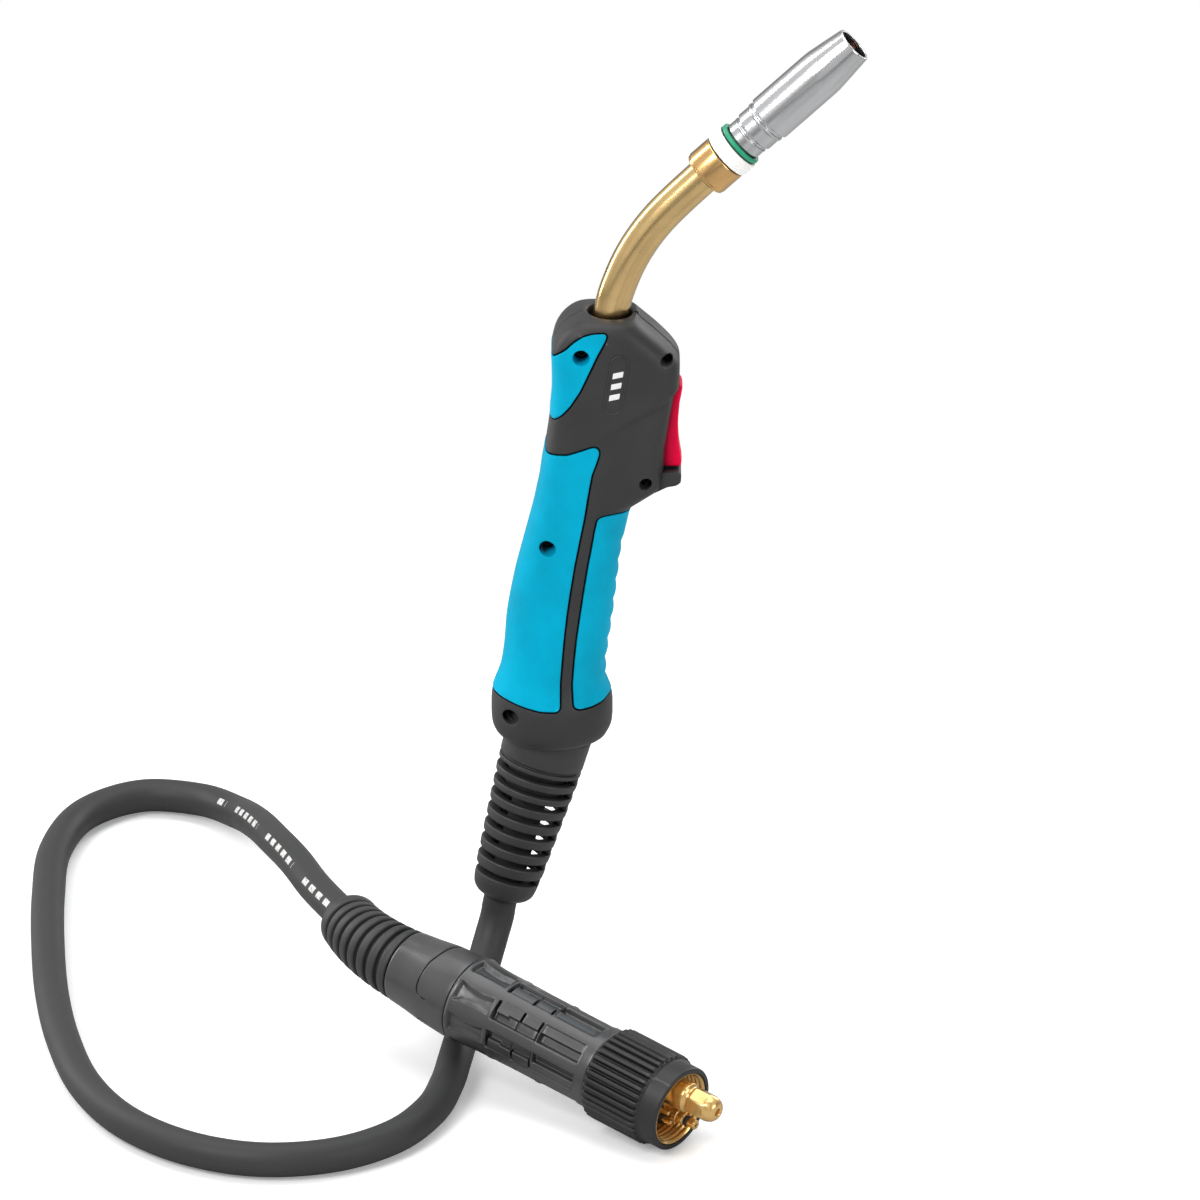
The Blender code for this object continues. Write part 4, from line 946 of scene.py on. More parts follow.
def body_section(height, back, front, half, squareness):
    """Return half of a handle section from the back edge to the front edge."""
    angle = np.linspace(0.0, math.pi, 721)
    share = np.clip((height - HEAD_FROM) / (HEAD_TO - HEAD_FROM), 0.0, 1.0)
    back_squareness = squareness + (HEAD_BACK_SQUARENESS - squareness) * share
    power = 2.0 / np.where(angle < math.pi / 2.0, back_squareness, squareness)
    across = np.sign(np.cos(angle)) * np.abs(np.cos(angle)) ** power
    out = np.abs(np.sin(angle)) ** power
    x = (back + front) / 2.0 - (front - back) / 2.0 * across
    return even_row(np.stack([x, -half * out, np.full(len(angle), height)], -1))


def ring_section(centre, radius, rise, lean):
    """Return half a circle from the back round by the near side to the front."""
    angle = np.linspace(0.0, math.pi, 361)
    flat = np.array((math.cos(lean), 0.0, -math.sin(lean)))
    up = np.array((math.sin(lean), 0.0, math.cos(lean)))
    points = centre + rise * up - radius * np.cos(angle)[:, None] * flat
    points[:, 1] -= radius * np.sin(angle)
    return even_row(points)


def between(here, after, first, last):
    """Return even steps from one row to the next, from the step first to the one before the last."""
    count = max(1, int(np.linalg.norm(after - here, axis=1).mean() / ALONG_STEP))
    return [here + (after - here) * step / count for step in range(first, count + last)]


def handle_table():
    """Return the half handle's points by row, and where the body rows start and end."""
    rows = np.array(SHELL_ROWS)
    length = run_of(rows[:, (0, 2, 3)])
    at = np.linspace(0.0, length[-1], int(length[-1] / ALONG_STEP) + 1)
    dense = np.stack([steady_curve(length, rows[:, column], at) for column in range(5)], -1)
    relax(dense, 12)
    body = [body_section(*row) for row in dense]
    lip = [ring_section(np.array((0.0, 0.0, height)), radius, 0.0, 0.0) for height, radius in LIP_ROWS]
    rim = [ring_section(MOUTH_AT, radius, rise, MOUTH_LEAN) for radius, rise in RIM_ROWS]
    table = []
    for here, after in zip(lip, lip[1:] + body[:1]):
        table += between(here, after, 0, 0)
    first = len(table)
    table += body
    last = len(table) - 1
    for here, after in zip([body[-1]] + rim[:-1], rim):
        table += between(here, after, 1, 1)
    return np.array(table), first, last


class Skin:
    """A surface known by a table of points, laid flat as distance across and distance along."""

    def __init__(self, table, first, last):
        self.table = table
        steps = np.linalg.norm(np.diff(table, axis=0), axis=2).mean(1)
        self.along = np.concatenate([[0.0], np.cumsum(steps)])
        self.width = np.linalg.norm(np.diff(table, axis=1), axis=2).sum(1)
        self.first, self.last = first, last
        down = np.gradient(table, axis=1)
        up = np.gradient(table, axis=0)
        normal = np.cross(down, up)
        self.normal = normal / np.maximum(1e-9, np.linalg.norm(normal, axis=2))[..., None]

    def place_in(self, flat):
        """Return fractional row and column of flat points."""
        row = np.interp(flat[:, 1], self.along, np.arange(len(self.along)))
        width = np.interp(row, np.arange(len(self.width)), self.width)
        last = self.table.shape[1] - 1
        column = np.clip((flat[:, 0] / width + 0.5) * last, 0.0, last)
        return row, column

    def blend(self, grid, flat):
        """Interpolate a table of vectors at flat points."""
        row, column = self.place_in(flat)
        r = np.minimum(row.astype(int), grid.shape[0] - 2)
        c = np.minimum(column.astype(int), grid.shape[1] - 2)
        a, b = (row - r)[:, None], (column - c)[:, None]
        return (grid[r, c] * (1 - a) * (1 - b) + grid[r + 1, c] * a * (1 - b)
                + grid[r, c + 1] * (1 - a) * b + grid[r + 1, c + 1] * a * b)

    def lift(self, flat, height):
        """Return flat points on the surface, raised along its normal."""
        normal = self.blend(self.normal, flat)
        normal /= np.maximum(1e-9, np.linalg.norm(normal, axis=1))[:, None]
        return self.blend(self.table, flat) + normal * np.asarray(height)[:, None]

    def flatten(self, side_points, keep=0.05):
        """Return flat places of points given by x and height on the near side.

        A point at the split stays inside it by keep, or runs past it where keep is None.
        """
        past = RUN_PAST if keep is None else -keep
        seen = self.table[:, :, 2] + FACE_RISE * self.table[:, :, 1]
        return np.array([self.flat_place(x, z, seen, past) for x, z in side_points])

    def flat_place(self, x, z, seen, past):
        """Return the flat place of one point; seen is each point's height as the camera finds it."""
        body = slice(self.first, self.last + 1)
        level = self.first + int(np.argmin(np.abs(seen[body, -1] - z)))
        ahead, behind = x - self.table[level, -1, 0], self.table[level, 0, 0] - x
        if max(ahead, behind) > BESIDE:
            side = 1.0 if ahead > BESIDE else -1.0
            return side * (self.width[level] / 2.0 + past), self.along[level]
        gap = (self.table[body, :, 0] - x) ** 2
        gap += (seen[body] - z) ** 2
        r, c = np.unravel_index(np.argmin(gap), gap.shape)
        r += self.first
        last_column = self.table.shape[1] - 1
        u = (c / last_column - 0.5) * self.width[r]
        v = self.along[r]
        if 0 < c < last_column:
            du, dv = self.nudge(r, c, x - self.table[r, c, 0], z - seen[r, c])
            return u + du, v + dv
        return u + (past if c else -past), v

    def nudge(self, r, c, dx, dz):
        """Return the flat step from a table point that covers a small step in x and height."""
        over = (self.table[r, c + 1] - self.table[r, c - 1]) / 2.0
        over = over / (self.width[r] / (self.table.shape[1] - 1))
        beside = min(max(r, 1), len(self.along) - 2)
        step = (self.along[beside + 1] - self.along[beside - 1]) / 2.0
        up = (self.table[beside + 1, c] - self.table[beside - 1, c]) / 2.0 / step
        spread = over[0] * up[2] - over[2] * up[0]
        if abs(spread) <= 0.15:
            return 0.0, 0.0
        across = (dx * up[2] - dz * up[0]) / spread
        along = (over[0] * dz - over[2] * dx) / spread
        return float(np.clip(across, -0.5, 0.5)), float(np.clip(along, -0.5, 0.5))
    def edge_at(self, row, depth):
        """Return the flat distance of the front edge where the surface is a given depth from the split."""
        far = -self.table[row, self.table.shape[1] // 2:, 1]
        column = self.table.shape[1] // 2 + int(np.argmax(far < depth))
        return (column / (self.table.shape[1] - 1) - 0.5) * self.width[row]


THUMB_PAD = (
    (-40.0, 167.0), (-1.5, 168.0), (2.7, 171.4), (5.3, 173.2), (8.8, 176.7), (12.7, 179.3), (16.6, 180.4),
    (21.8, 180.7), (22.5, 179.8), (21.8, 177.6), (18.3, 170.9), (14.9, 163.2), (11.4, 155.2), (7.1, 148.0),
    (3.6, 143.7), (0.6, 141.2), (-40.0, 139.7),
)
PALM_PAD = (
    (-40.0, 124.0), (-2.7, 124.9), (6.0, 125.8), (12.3, 128.1), (17.0, 129.8), (19.0, 129.0), (19.4, 126.9),
    (18.1, 122.6), (16.2, 117.4), (14.3, 106.5), (13.0, 97.4), (10.9, 86.7), (8.9, 75.8), (7.2, 64.9),
    (5.7, 54.2), (4.5, 43.4), (3.6, 32.8), (2.8, 22.4), (2.8, 11.9), (1.5, 10.6), (-5.4, 10.7), (-12.0, 11.9),
    (-18.5, 13.4), (-24.3, 14.6), (-40.0, 16.2),
)
FINGER_PAD = (
    (45.0, 98.0), (31.0, 98.8), (26.1, 98.8), (20.4, 98.0), (18.8, 96.8), (17.7, 91.8), (16.8, 86.4),
    (14.9, 75.5), (13.2, 64.6), (11.7, 53.9), (10.2, 43.1), (9.1, 32.4), (8.3, 22.0), (8.7, 13.6),
    (9.1, 12.0), (10.9, 11.0), (16.3, 11.3), (20.6, 12.1), (23.2, 13.4), (45.0, 14.5),
)
PADS = (("thumb_pad", THUMB_PAD), ("palm_grip", PALM_PAD), ("finger_grip", FINGER_PAD))
SCREWS = (
    (11.8, 170.1, 15.6, 2.9), (47.7, 167.6, 11.0, 2.3), (38.9, 112.4, 14.0, 2.4),
    (-2.4, 83.1, 12.5, 2.9), (-18.2, 6.0, 15.5, 3.1),
)
PAD_SCREWS = {"thumb_pad": 0, "palm_grip": 3}
GROOVE = 0.7
RECESS = 1.6
SINK = 4.0
PAD_PROUD = 0.25
WALL = 2.9
WINDOW = (116.4, 156.2, 6.7)            # low end, high end, half width
CREASE = ((54.0, 154.0), (19.4, 133.7))
UNDER_CREASE = (46.0, 130.0)
CREASE_DEPTH = 1.9
SCALLOP_FROM, SCALLOP_PITCH, SCALLOP_COUNT = 20.0, 9.0, 8
SCALLOP_DEPTH = 0.85
ON_WALL = 0.025
FLOOR_WALL = 0.8
SHELL_BEADS = (0.1, 0.22, 0.45)
HOLE_BEADS = (0.05, -0.1, -0.25, -0.5)
PAD_BEADS = (0.06, 0.16, 0.32, 0.55)
PAD_HOLE_BEADS = (0.05, -0.12, -0.3, -0.6)


def dense_side(outline, step=0.7):
    """Return an outline in the handle's plane with even steps."""
    return resample(np.array(outline, float), step)


def circle_side(x, z, radius):
    """Return a circle in the handle's plane."""
    angle = turns(40)
    return np.stack([x + radius * np.cos(angle), z + radius * np.sin(angle)], -1)


def pad_loop(skin, outline, keep):
    """Return a pad's smooth outline laid flat; keep None lets it run past the split."""
    loop = skin.flatten(dense_side(outline), keep)
    return soften(loop, 0.7, 0.5)


def split_outline(skin):
    """Return a half shell's flat outline, with the trigger window cut in."""
    rows = np.arange(0, len(skin.along), 2)
    left = [(-skin.width[row] / 2.0, skin.along[row]) for row in rows]
    heights = skin.table[:, skin.table.shape[1] // 2, 2]
    body = np.arange(skin.first, skin.last + 1)
    low = body[np.argmax(heights[body] > WINDOW[0])]
    high = body[np.argmax(heights[body] > WINDOW[1])]
    right = [(skin.width[row] / 2.0, skin.along[row]) for row in rows if row < low]
    right.append((skin.width[low] / 2.0, skin.along[low]))
    right += [(skin.edge_at(row, WINDOW[2]), skin.along[row]) for row in range(low, high + 1, 2)]
    right.append((skin.width[high] / 2.0, skin.along[high]))
    right += [(skin.width[row] / 2.0, skin.along[row]) for row in rows if row > high]
    return resample(np.array(left[::-1] + right), 0.9)


def crease_depth(x, z):
    """Return how far the lower front of the head is set back under its crease."""
    (x1, z1), (x2, z2) = CREASE
    dx, dz = x2 - x1, z2 - z1
    size = math.hypot(dx, dz)
    below = ((x - x1) * dz - (z - z1) * dx) / size
    along = ((x - x1) * dx + (z - z1) * dz) / size
    if (UNDER_CREASE[0] - x1) * dz - (UNDER_CREASE[1] - z1) * dx < 0:
        below = -below
    fade = np.clip(1.0 - along / (size * 1.15), 0.0, 1.0) ** 0.7
    step = smooth_step(np.clip(below / 1.1, 0.0, 1.0))
    far = np.clip((z - 108.0) / 20.0, 0.0, 1.0)
    return CREASE_DEPTH * step * fade * far * np.clip(1.0 - (below - 6.0) / 26.0, 0.35, 1.0)


def scallop_depth(x, z, y):
    """Return the finger grip's shallow waves along its front."""
    phase = (z - SCALLOP_FROM) / SCALLOP_PITCH
    active = np.clip(np.minimum(phase + 0.3, SCALLOP_COUNT - 0.2 - phase) / 0.5, 0.0, 1.0)
    wave = 0.5 + 0.5 * np.cos(math.tau * phase)
    near = smooth_step(np.clip(1.0 - np.abs(y) / 15.0, 0.0, 1.0))
    front = np.clip((x - 8.0) / 6.0, 0.0, 1.0)
    return SCALLOP_DEPTH * wave * active * near * front


def loop_family(loop, distances, step):
    """Return a loop's copies moved inward by each distance."""
    return [offset_loop(loop, distance, step) for distance in distances]


def with_family(loop, distances, step):
    """Return a loop and its copies moved inward by each distance."""
    return [loop] + loop_family(loop, distances, step)


def cut_domain(outer, lines, grid, clear):
    """Triangulate a domain with closed lines laid into it."""
    xs = np.arange(outer[:, 0].min(), outer[:, 0].max(), grid)
    ys = np.arange(outer[:, 1].min(), outer[:, 1].max(), grid * 0.866)
    shift = np.where(np.arange(len(ys)) % 2, grid * 0.5, 0.0)
    field = np.stack([(xs[None] + shift[:, None]).ravel(), np.repeat(ys, len(xs))], -1)
    field = field[signed_distance(field, outer) > clear]
    taken = np.vstack([outer] + list(lines))
    tree = KDTree(len(taken))
    for index, (u, v) in enumerate(taken):
        tree.insert((u, v, 0.0), index)
    tree.balance()
    field = field[[tree.find((u, v, 0.0))[2] > clear for u, v in field]]
    points, edges, base = [], [], 0
    for loop in [outer] + list(lines):
        points.append(loop)
        edges += [(base + i, base + (i + 1) % len(loop)) for i in range(len(loop))]
        base += len(loop)
    points = np.vstack(points + [field])
    made = delaunay_2d_cdt([Vector(p) for p in points], edges, [], 0, 1e-4)
    at = np.array([tuple(v) for v in made[0]])
    faces = np.array([tuple(face) for face in made[2] if len(face) == 3], int)
    faces = faces[winding(at[faces].mean(1), outer)]
    a, b, c = (at[faces[:, i]] for i in range(3))
    area = (b[:, 0] - a[:, 0]) * (c[:, 1] - a[:, 1]) - (b[:, 1] - a[:, 1]) * (c[:, 0] - a[:, 0])
    faces, area = faces[np.abs(area) > 1e-8], area[np.abs(area) > 1e-8]
    faces[area < 0] = faces[area < 0][:, ::-1]
    return at, faces


def mirror_half(points, side, gap):
    """Return points moved off the split, on the wanted side."""
    points = points.copy()
    points[:, 1] -= gap
    if side > 0:
        points[:, 1] = -points[:, 1]
    return points


def add_half(name, flat, outside, inside, faces, side, look, node):
    """Make one half of a handle piece from its outer and inner skins, off the split."""
    outside = mirror_half(outside, side, SPLIT_GAP)
    inside = mirror_half(inside, side, INNER_GAP)
    points, made, used = close_skin(outside, inside, faces, side > 0)
    uvs = np.vstack([flat[used], flat[used]]) * MM
    add_piece(name, (points, made, uvs), look, TORCH, "handle", [node])


def screw_holes(skin, side):
    """Return the near shell's screw holes laid flat, and how far from the split each one's floor lies."""
    holes = []
    for index, (x, z, depth, head) in enumerate(SCREWS if side < 0 else ()):
        in_pad = index in PAD_SCREWS.values()
        room, below = (0.85, 4.5) if in_pad else (0.35, 2.75)
        holes.append((skin.flatten(circle_side(x, z, head + room)), depth - below - SINK))
    return holes


def shell_height(skin, at, outer, recesses, holes):
    """Return the shell's height at flat points: its crease, recesses and rounded edges."""
    base = skin.blend(skin.table, at)
    height = rounded_edge(signed_distance(at, outer), 0.5, 0.45)
    height -= crease_depth(base[:, 0], base[:, 2] + FACE_RISE * base[:, 1])
    for recess in recesses:
        depth = signed_distance(at, recess)
        edge = rounded_edge(np.maximum(0.0, -depth), 0.35, 0.3)
        height = np.minimum(height, np.where(depth > 0.03, -RECESS, edge))
    for loop, _ in holes:
        depth = signed_distance(at, loop)
        edge = rounded_edge(np.maximum(0.0, -depth), 0.4, 0.35)
        height = np.minimum(height, np.where(depth > ON_WALL, height, edge))
    return height


def build_shell(skin, label, side):
    """Make one half of the handle's shell, with its grooves, holes and rounded edges."""
    outer = split_outline(skin)
    recesses = [offset_loop(pad_loop(skin, outline, None), -GROOVE, 0.6) for _, outline in PADS]
    holes = screw_holes(skin, side)
    lines = loop_family(outer, SHELL_BEADS, 0.9)
    for recess in recesses:
        lines += with_family(recess, (0.06, 1.6), 0.6)
        lines += loop_family(recess, (-0.1, -0.22, -0.45), 0.6)
    for loop, _ in holes:
        lines += with_family(loop, HOLE_BEADS, 0.4)
    at, faces = cut_domain(outer, lines, 1.35, 0.45)
    height = shell_height(skin, at, outer, recesses, holes)
    row, _ = skin.place_in(at)
    rows = (0, skin.first + 2, skin.first + 8, skin.last - 4, skin.last + 1, len(skin.along))
    room = np.interp(row, rows, (0.2, 0.25, WALL, WALL, 0.9, 0.6))
    outside = skin.lift(at, height)
    inside = skin.lift(at, np.minimum(-room, height - 0.2))
    for loop, seat in holes:
        drilled = signed_distance(at, loop) > ON_WALL
        outside[drilled, 1] = -seat
        inside[drilled, 1] = FLOOR_WALL - seat
    add_half("shell_" + label, at, outside, inside, faces, side, "shell_black", "handle_shell_" + label)


def build_pad(skin, name, outline, label, side):
    """Make one soft pad with rounded edges, lying proud in its recess."""
    outer = pad_loop(skin, outline, 0.04)
    lines = loop_family(outer, PAD_BEADS, 0.7)
    drilled = side < 0 and name in PAD_SCREWS
    if drilled:
        x, z, depth, head = SCREWS[PAD_SCREWS[name]]
        hole = skin.flatten(circle_side(x, z, head + 0.6))
        lines += with_family(hole, PAD_HOLE_BEADS, 0.4)
    at, faces = cut_domain(outer, lines, 1.5, 0.5)
    height = PAD_PROUD + rounded_edge(signed_distance(at, outer), 0.4, 0.35)
    if name == "finger_grip":
        base = skin.blend(skin.table, at)
        height -= scallop_depth(base[:, 0], base[:, 2], base[:, 1])
    if drilled:
        gap = signed_distance(at, hole)
        height = np.minimum(height, PAD_PROUD + rounded_edge(np.maximum(0.0, -gap), 0.6, 0.5))
    outside = skin.lift(at, height)
    inside = skin.lift(at, np.full(len(at), -RECESS + 0.12))
    if drilled:
        outside[gap > ON_WALL, 1] = -(depth - 2.9 - SINK)
        inside[gap > ON_WALL, 1] = -(depth - 3.6 - SINK)
    add_half(name + "_soft_" + label, at, outside, inside, faces, side, "pad_blue", name + "_" + label)


SCREW_R = 1.3
SOCKET_FLAT, SOCKET_CORNER = 1.3, 1.45


def screw_rings(top, head):
    """Return a cap screw's sections, from its end up over its head and down into its socket."""
    angle = turns(48)
    rings = []
    for height, radius in ((top - 7.0, SCREW_R), (top - 2.4, SCREW_R), (top - 2.3, head - 0.2),
                           (top - 0.35, head - 0.15), (top, head - 0.5), (top, 1.75)):
        rings.append(flat_ring(radius, angle, height))
    wall = hex_reach(angle, SOCKET_FLAT, SOCKET_CORNER)
    for height, share in ((top - 0.05, 1.03), (top - 0.2, 1.0), (top - 1.5, 0.98), (top - 1.6, 0.6)):
        rings.append(flat_ring(wall * share, angle, height))
    return rings


def build_screws(skin):
    """Make the five cap screws, sunk in their holes, each with a hexagon socket."""
    out_of_face = stand_along((0.0, -1.0, 0.0), (0.0, 0.0, 1.0))
    for index, (x, z, depth, head) in enumerate(SCREWS):
        centre = skin.lift(skin.flatten([(x, z)]), np.zeros(1))[0]
        at = TORCH @ move_by(centre[0], 0.0, centre[2]) @ out_of_face
        number = "_%d" % (index + 1)
        screw = skin_rings(screw_rings(depth - SINK, head), False, True)
        add_piece("cap_screw" + number, screw, "steel", at, "handle", ["shell_screw" + number])


def pillow(outline, levels, step=0.5, soft=0.6):
    """Return a flat closed form with rounded edges; a level is a side distance and an inset."""
    base = soften(np.array(outline, float), soft, step)
    inward, sense = inward_of(base)
    rings = []
    for side, inset in levels:
        flat = base + inward * inset
        rings.append(np.stack([flat[:, 0], np.full(len(base), side), flat[:, 1]], -1))
    return skin_rings(rings[::-1] if sense < 0 else rings, False, True)


TRIGGER_SIDE = (
    (53.2, 155.2), (54.2, 153.4), (53.7, 150.3), (53.0, 146.7), (52.4, 139.4), (52.3, 135.0), (52.6, 128.6),
    (53.1, 125.0), (53.7, 121.3), (53.9, 119.0), (53.1, 117.9), (45.6, 117.9), (45.0, 124.0), (44.8, 140.0),
    (43.8, 147.0), (44.6, 153.0), (48.0, 155.4),
)
LIP_SIDE = ((41.6, 117.0), (53.0, 116.9), (53.8, 116.0), (53.6, 112.2), (51.6, 110.8), (48.0, 110.2),
            (41.6, 107.0))
# Half width and inset of the trigger's and the lip's rounded sides.
TRIGGER_EDGE = ((6.1, 1.0), (6.05, 0.6), (5.85, 0.25), (5.5, 0.08), (5.0, 0.0), (3.0, -0.1), (0.0, -0.12))
LIP_EDGE = ((0.13, 0.3), (0.2, 0.08), (0.4, 0.0), (9.9, 0.0), (10.3, 0.15), (10.5, 0.5))


def build_trigger():
    """Make the trigger and the two halves of the lip under it."""
    levels = [(-y, inset) for y, inset in TRIGGER_EDGE] + [(y, inset) for y, inset in TRIGGER_EDGE[-2::-1]]
    blade = pillow(TRIGGER_SIDE, levels)
    add_piece("trigger_blade", blade, "trigger_red", TORCH, "trigger", ["trigger_lever"])
    for label, side in (("front", -1), ("back", 1)):
        levels = [(side * y, inset) for y, inset in LIP_EDGE][::side]
        add_piece("trigger_lip_" + label, pillow(LIP_SIDE, levels), "shell_black", TORCH, "handle", [])


BADGE_AT = (26.5, 160.3)
BADGE_LEAN = math.radians(8.5)
BADGE_ROUND, BADGE_LONG = 4.0, 13.4
BADGE_LEVELS = ((-19.22, 2.0), (-19.2, 1.15), (-19.1, 1.05), (-18.95, 0.9), (-19.0, 0.62), (-19.48, 0.5),
                (-19.58, 0.35), (-19.56, 0.1), (-19.42, 0.0), (-18.7, 0.0))
BAR_LEVELS = ((-19.38, 0.12), (-19.36, 0.0), (-19.1, 0.0))
BAR_CORNERS = ((-2.1, -2.1), (0.5, -2.1), (2.1, 2.1), (-0.5, 2.1))
BAR_PITCH, BAR_SHIFT = 5.0, 0.4


def lean_point(along, across):
    """Return a badge point in the handle's plane."""
    x = BADGE_AT[0] + across * math.cos(BADGE_LEAN) + along * math.sin(BADGE_LEAN)
    z = BADGE_AT[1] - across * math.sin(BADGE_LEAN) + along * math.cos(BADGE_LEAN)
    return x, z


def build_badge():
    """Make the oval badge with its rim line and three plain slanted bars."""
    outline = []
    for step in range(48):
        angle = math.tau * (step + 0.5) / 48
        along = (BADGE_LONG - BADGE_ROUND) * (1.0 if math.sin(angle) > 0.0 else -1.0)
        outline.append(lean_point(along + BADGE_ROUND * math.sin(angle), BADGE_ROUND * math.cos(angle)))
    badge = pillow(outline, BADGE_LEVELS, 0.4, 0.1)
    add_piece("badge", badge, "badge_black", TORCH, "handle", ["badge_plate"])
    bars = []
    for place_in_row in (-1, 0, 1):
        middle = place_in_row * BAR_PITCH - BAR_SHIFT
        corners = [lean_point(middle + along, across) for along, across in BAR_CORNERS]
        bars.append(pillow(corners, BAR_LEVELS, 0.2, 0.1))
    add_piece("badge_bars", join(bars), "badge_white", TORCH, "handle", [])


def build_handle():
    """Make the handle's shells, pads, trigger and badge."""
    skin = Skin(*handle_table())
    for label, side in (("front", -1), ("back", 1)):
        build_shell(skin, label, side)
        for name, outline in PADS:
            build_pad(skin, name, outline, label, side)
    build_screws(skin)
    build_trigger()
    build_badge()


# ---------------------------------------------------------------- plug housings

HOUSING_LINE = ((17.2, -38.45), (17.6, -38.6), (17.8, -39.2), (17.82, -56.0), (17.9, -80.0), (18.0, -100.0),
                (18.15, -104.0), (18.6, -109.0), (19.15, -112.2), (19.2, -112.8), (18.9, -113.15))
HOUSING_CORE = ((18.4, -113.2), (14.4, -113.2), (14.4, -80.0), (14.4, -38.4), (16.9, -38.4))
ROWS_FROM, ROWS_TO, ROW_STEP = -112.0, -39.5, 1.1
COLUMNS = 8
COLUMN_TURN = 0.1
POCKET_HALF = 0.31
LANES = (-0.31, 0.0, 0.06, 0.31)        # edges of the blocks as shares of a column's width
COLUMN_SHARES = (-0.5, -0.44, -0.38, 0.38, 0.44, -0.24, -0.17, 0.17, 0.24)
FLUTE = (-111.0, -93.4)
FLUTE_DEPTH = 1.7
BRICKS = (-91.2, -67.0)
LONG_POCKET = (-66.1, -44.4)
HIGH_BLOCKS = ((-90.0, -77.7), (-76.8, -67.9))
LOW_BLOCKS = ((-89.6, -79.2), (-78.2, -68.6))
JOG_AT = -83.5
POCKET_DEPTH = 3.0
HIGH_DEPTH, LOW_DEPTH, LONG_DEPTH = 0.25, 2.2, 0.7


def column_lines():
    """Return the flat lines across one grip column, as shares of its width."""
    lines = list(COLUMN_SHARES)
    for edge in LANES + (-LANES[2],):
        lines += [edge - 0.022, edge - 0.01, edge + 0.01, edge + 0.022]
    return sorted(lines)


def step_lines(edges):
    """Return the heights of the housing's rows, doubled at each pocket's edge."""
    lines = np.arange(ROWS_FROM, ROWS_TO, ROW_STEP)
    clear = [line for line in lines if min(abs(line - edge) for edge in edges) > 0.6]
    return sorted(clear + [edge + step for edge in edges for step in (-0.4, -0.2, 0.2, 0.4)])


def soft_box(value, low, high, edge):
    """Return 1 inside a span and 0 outside, with sloped edges."""
    return np.clip(np.minimum(value - low, high - value) / edge + 0.5, 0.0, 1.0)


def below_line(value, line, edge):
    """Return 1 under a line and 0 over it, with a sloped edge."""
    return np.clip((line - value) / edge + 0.5, 0.0, 1.0)


def grip_depth(share, height):
    """Return how deep the housing's grip pattern is at a share of its column and a height."""
    waist = (height + 100.0) / np.where(height < -100.0, 11.0, 6.6)
    flare = 0.16 + np.where(height < -100.0, 0.14, 0.08) * waist ** 2
    depth = FLUTE_DEPTH * soft_box(height, *FLUTE, 0.5) * below_line(np.abs(share), flare, 0.035)
    high = below_line(share, np.where(height < JOG_AT, LANES[2], LANES[1]), 0.03)
    upper = sum(soft_box(height, *span, 0.5) for span in HIGH_BLOCKS)
    lower = sum(soft_box(height, *span, 0.5) for span in LOW_BLOCKS)
    floor = POCKET_DEPTH - (POCKET_DEPTH - HIGH_DEPTH) * upper * high
    floor -= (POCKET_DEPTH - LOW_DEPTH) * lower * (1.0 - high)
    box = soft_box(height, *BRICKS, 0.5) * soft_box(share, -POCKET_HALF, POCKET_HALF, 0.03)
    depth = np.maximum(depth, box * floor)
    long_box = soft_box(height, *LONG_POCKET, 0.8) * soft_box(share, -POCKET_HALF, POCKET_HALF, 0.05)
    long_high = below_line(share, LANES[1], 0.04)
    return np.maximum(depth, (POCKET_DEPTH - (POCKET_DEPTH - LONG_DEPTH) * long_high) * long_box)


def housing_rows():
    """Return the height and radius of the grip housing's rows, from the front to the back."""
    edges = list(FLUTE + BRICKS + LONG_POCKET) + [JOG_AT]
    edges += [edge for span in HIGH_BLOCKS + LOW_BLOCKS for edge in span]
    heights = np.array(sorted(set(np.round(step_lines(edges), 3))))
    heights = heights[np.concatenate([[True], np.diff(heights) > 0.03])]
    profile = fillet(HOUSING_LINE, 0.35, 4)
    order = np.argsort(profile[:, 1])
    rows = [(z, np.interp(z, profile[order, 1], profile[order, 0])) for z in heights]
    rows += [(z, r) for r, z in profile if z > ROWS_TO + 0.1 or z < ROWS_FROM - 0.1]
    return sorted(rows, reverse=True)


def build_front_housing():
    """Make the grip housing with its columns of pockets."""
    column = np.array(column_lines())
    shares = np.concatenate([column * (1.0 if index % 2 else -1.0) for index in range(COLUMNS)])
    turn = np.concatenate([index + COLUMN_TURN + column for index in range(COLUMNS)]) / COLUMNS * math.tau
    rings = []
    for height, radius in housing_rows():
        depth = grip_depth(shares, np.full(len(shares), height))
        rings.append(flat_ring(radius - depth, turn, height))
    rings += [flat_ring(radius, turn, height) for radius, height in HOUSING_CORE]
    add_piece("grip_housing", skin_rings(rings[::-1], True), "plug_black", PLUG, "lead", ["plug_housing"])


SLOT_WIDE = 0.75
SLOT_DEEP = 0.9
UNROLL_R = 18.2                         # turns round the rear housing are laid flat at this radius
REAR_LINE = ((18.75, -113.95), (18.85, -114.6), (18.6, -120.0), (17.9, -130.0), (16.6, -140.0),
             (15.9, -147.2))
REAR_ENDS = (-147.2, -113.95)
REAR_INSIDE = ((18.74, -113.95), (18.6, -113.72), (18.0, -113.6), (14.0, -113.6), (14.0, -120.0),
               (12.2, -144.0), (7.8, -146.0), (7.8, -148.4), (15.2, -148.4), (15.75, -147.9), (15.9, -147.2))
REAR_SIDES, REAR_ROWS = 130, 34
PANEL_SLOT = ((1.0, -126.6), (1.3, -127.6), (1.6, -128.3), (1.9, -129.0), (2.2, -129.9), (2.5, -130.3),
              (2.8, -130.2), (2.94, -129.4), (3.01, -127.4), (3.02, -124.1))
OTHER_SLOT = tuple((6.74 - turn, height) for turn, height in PANEL_SLOT)
SEAM_TURN = 0.5


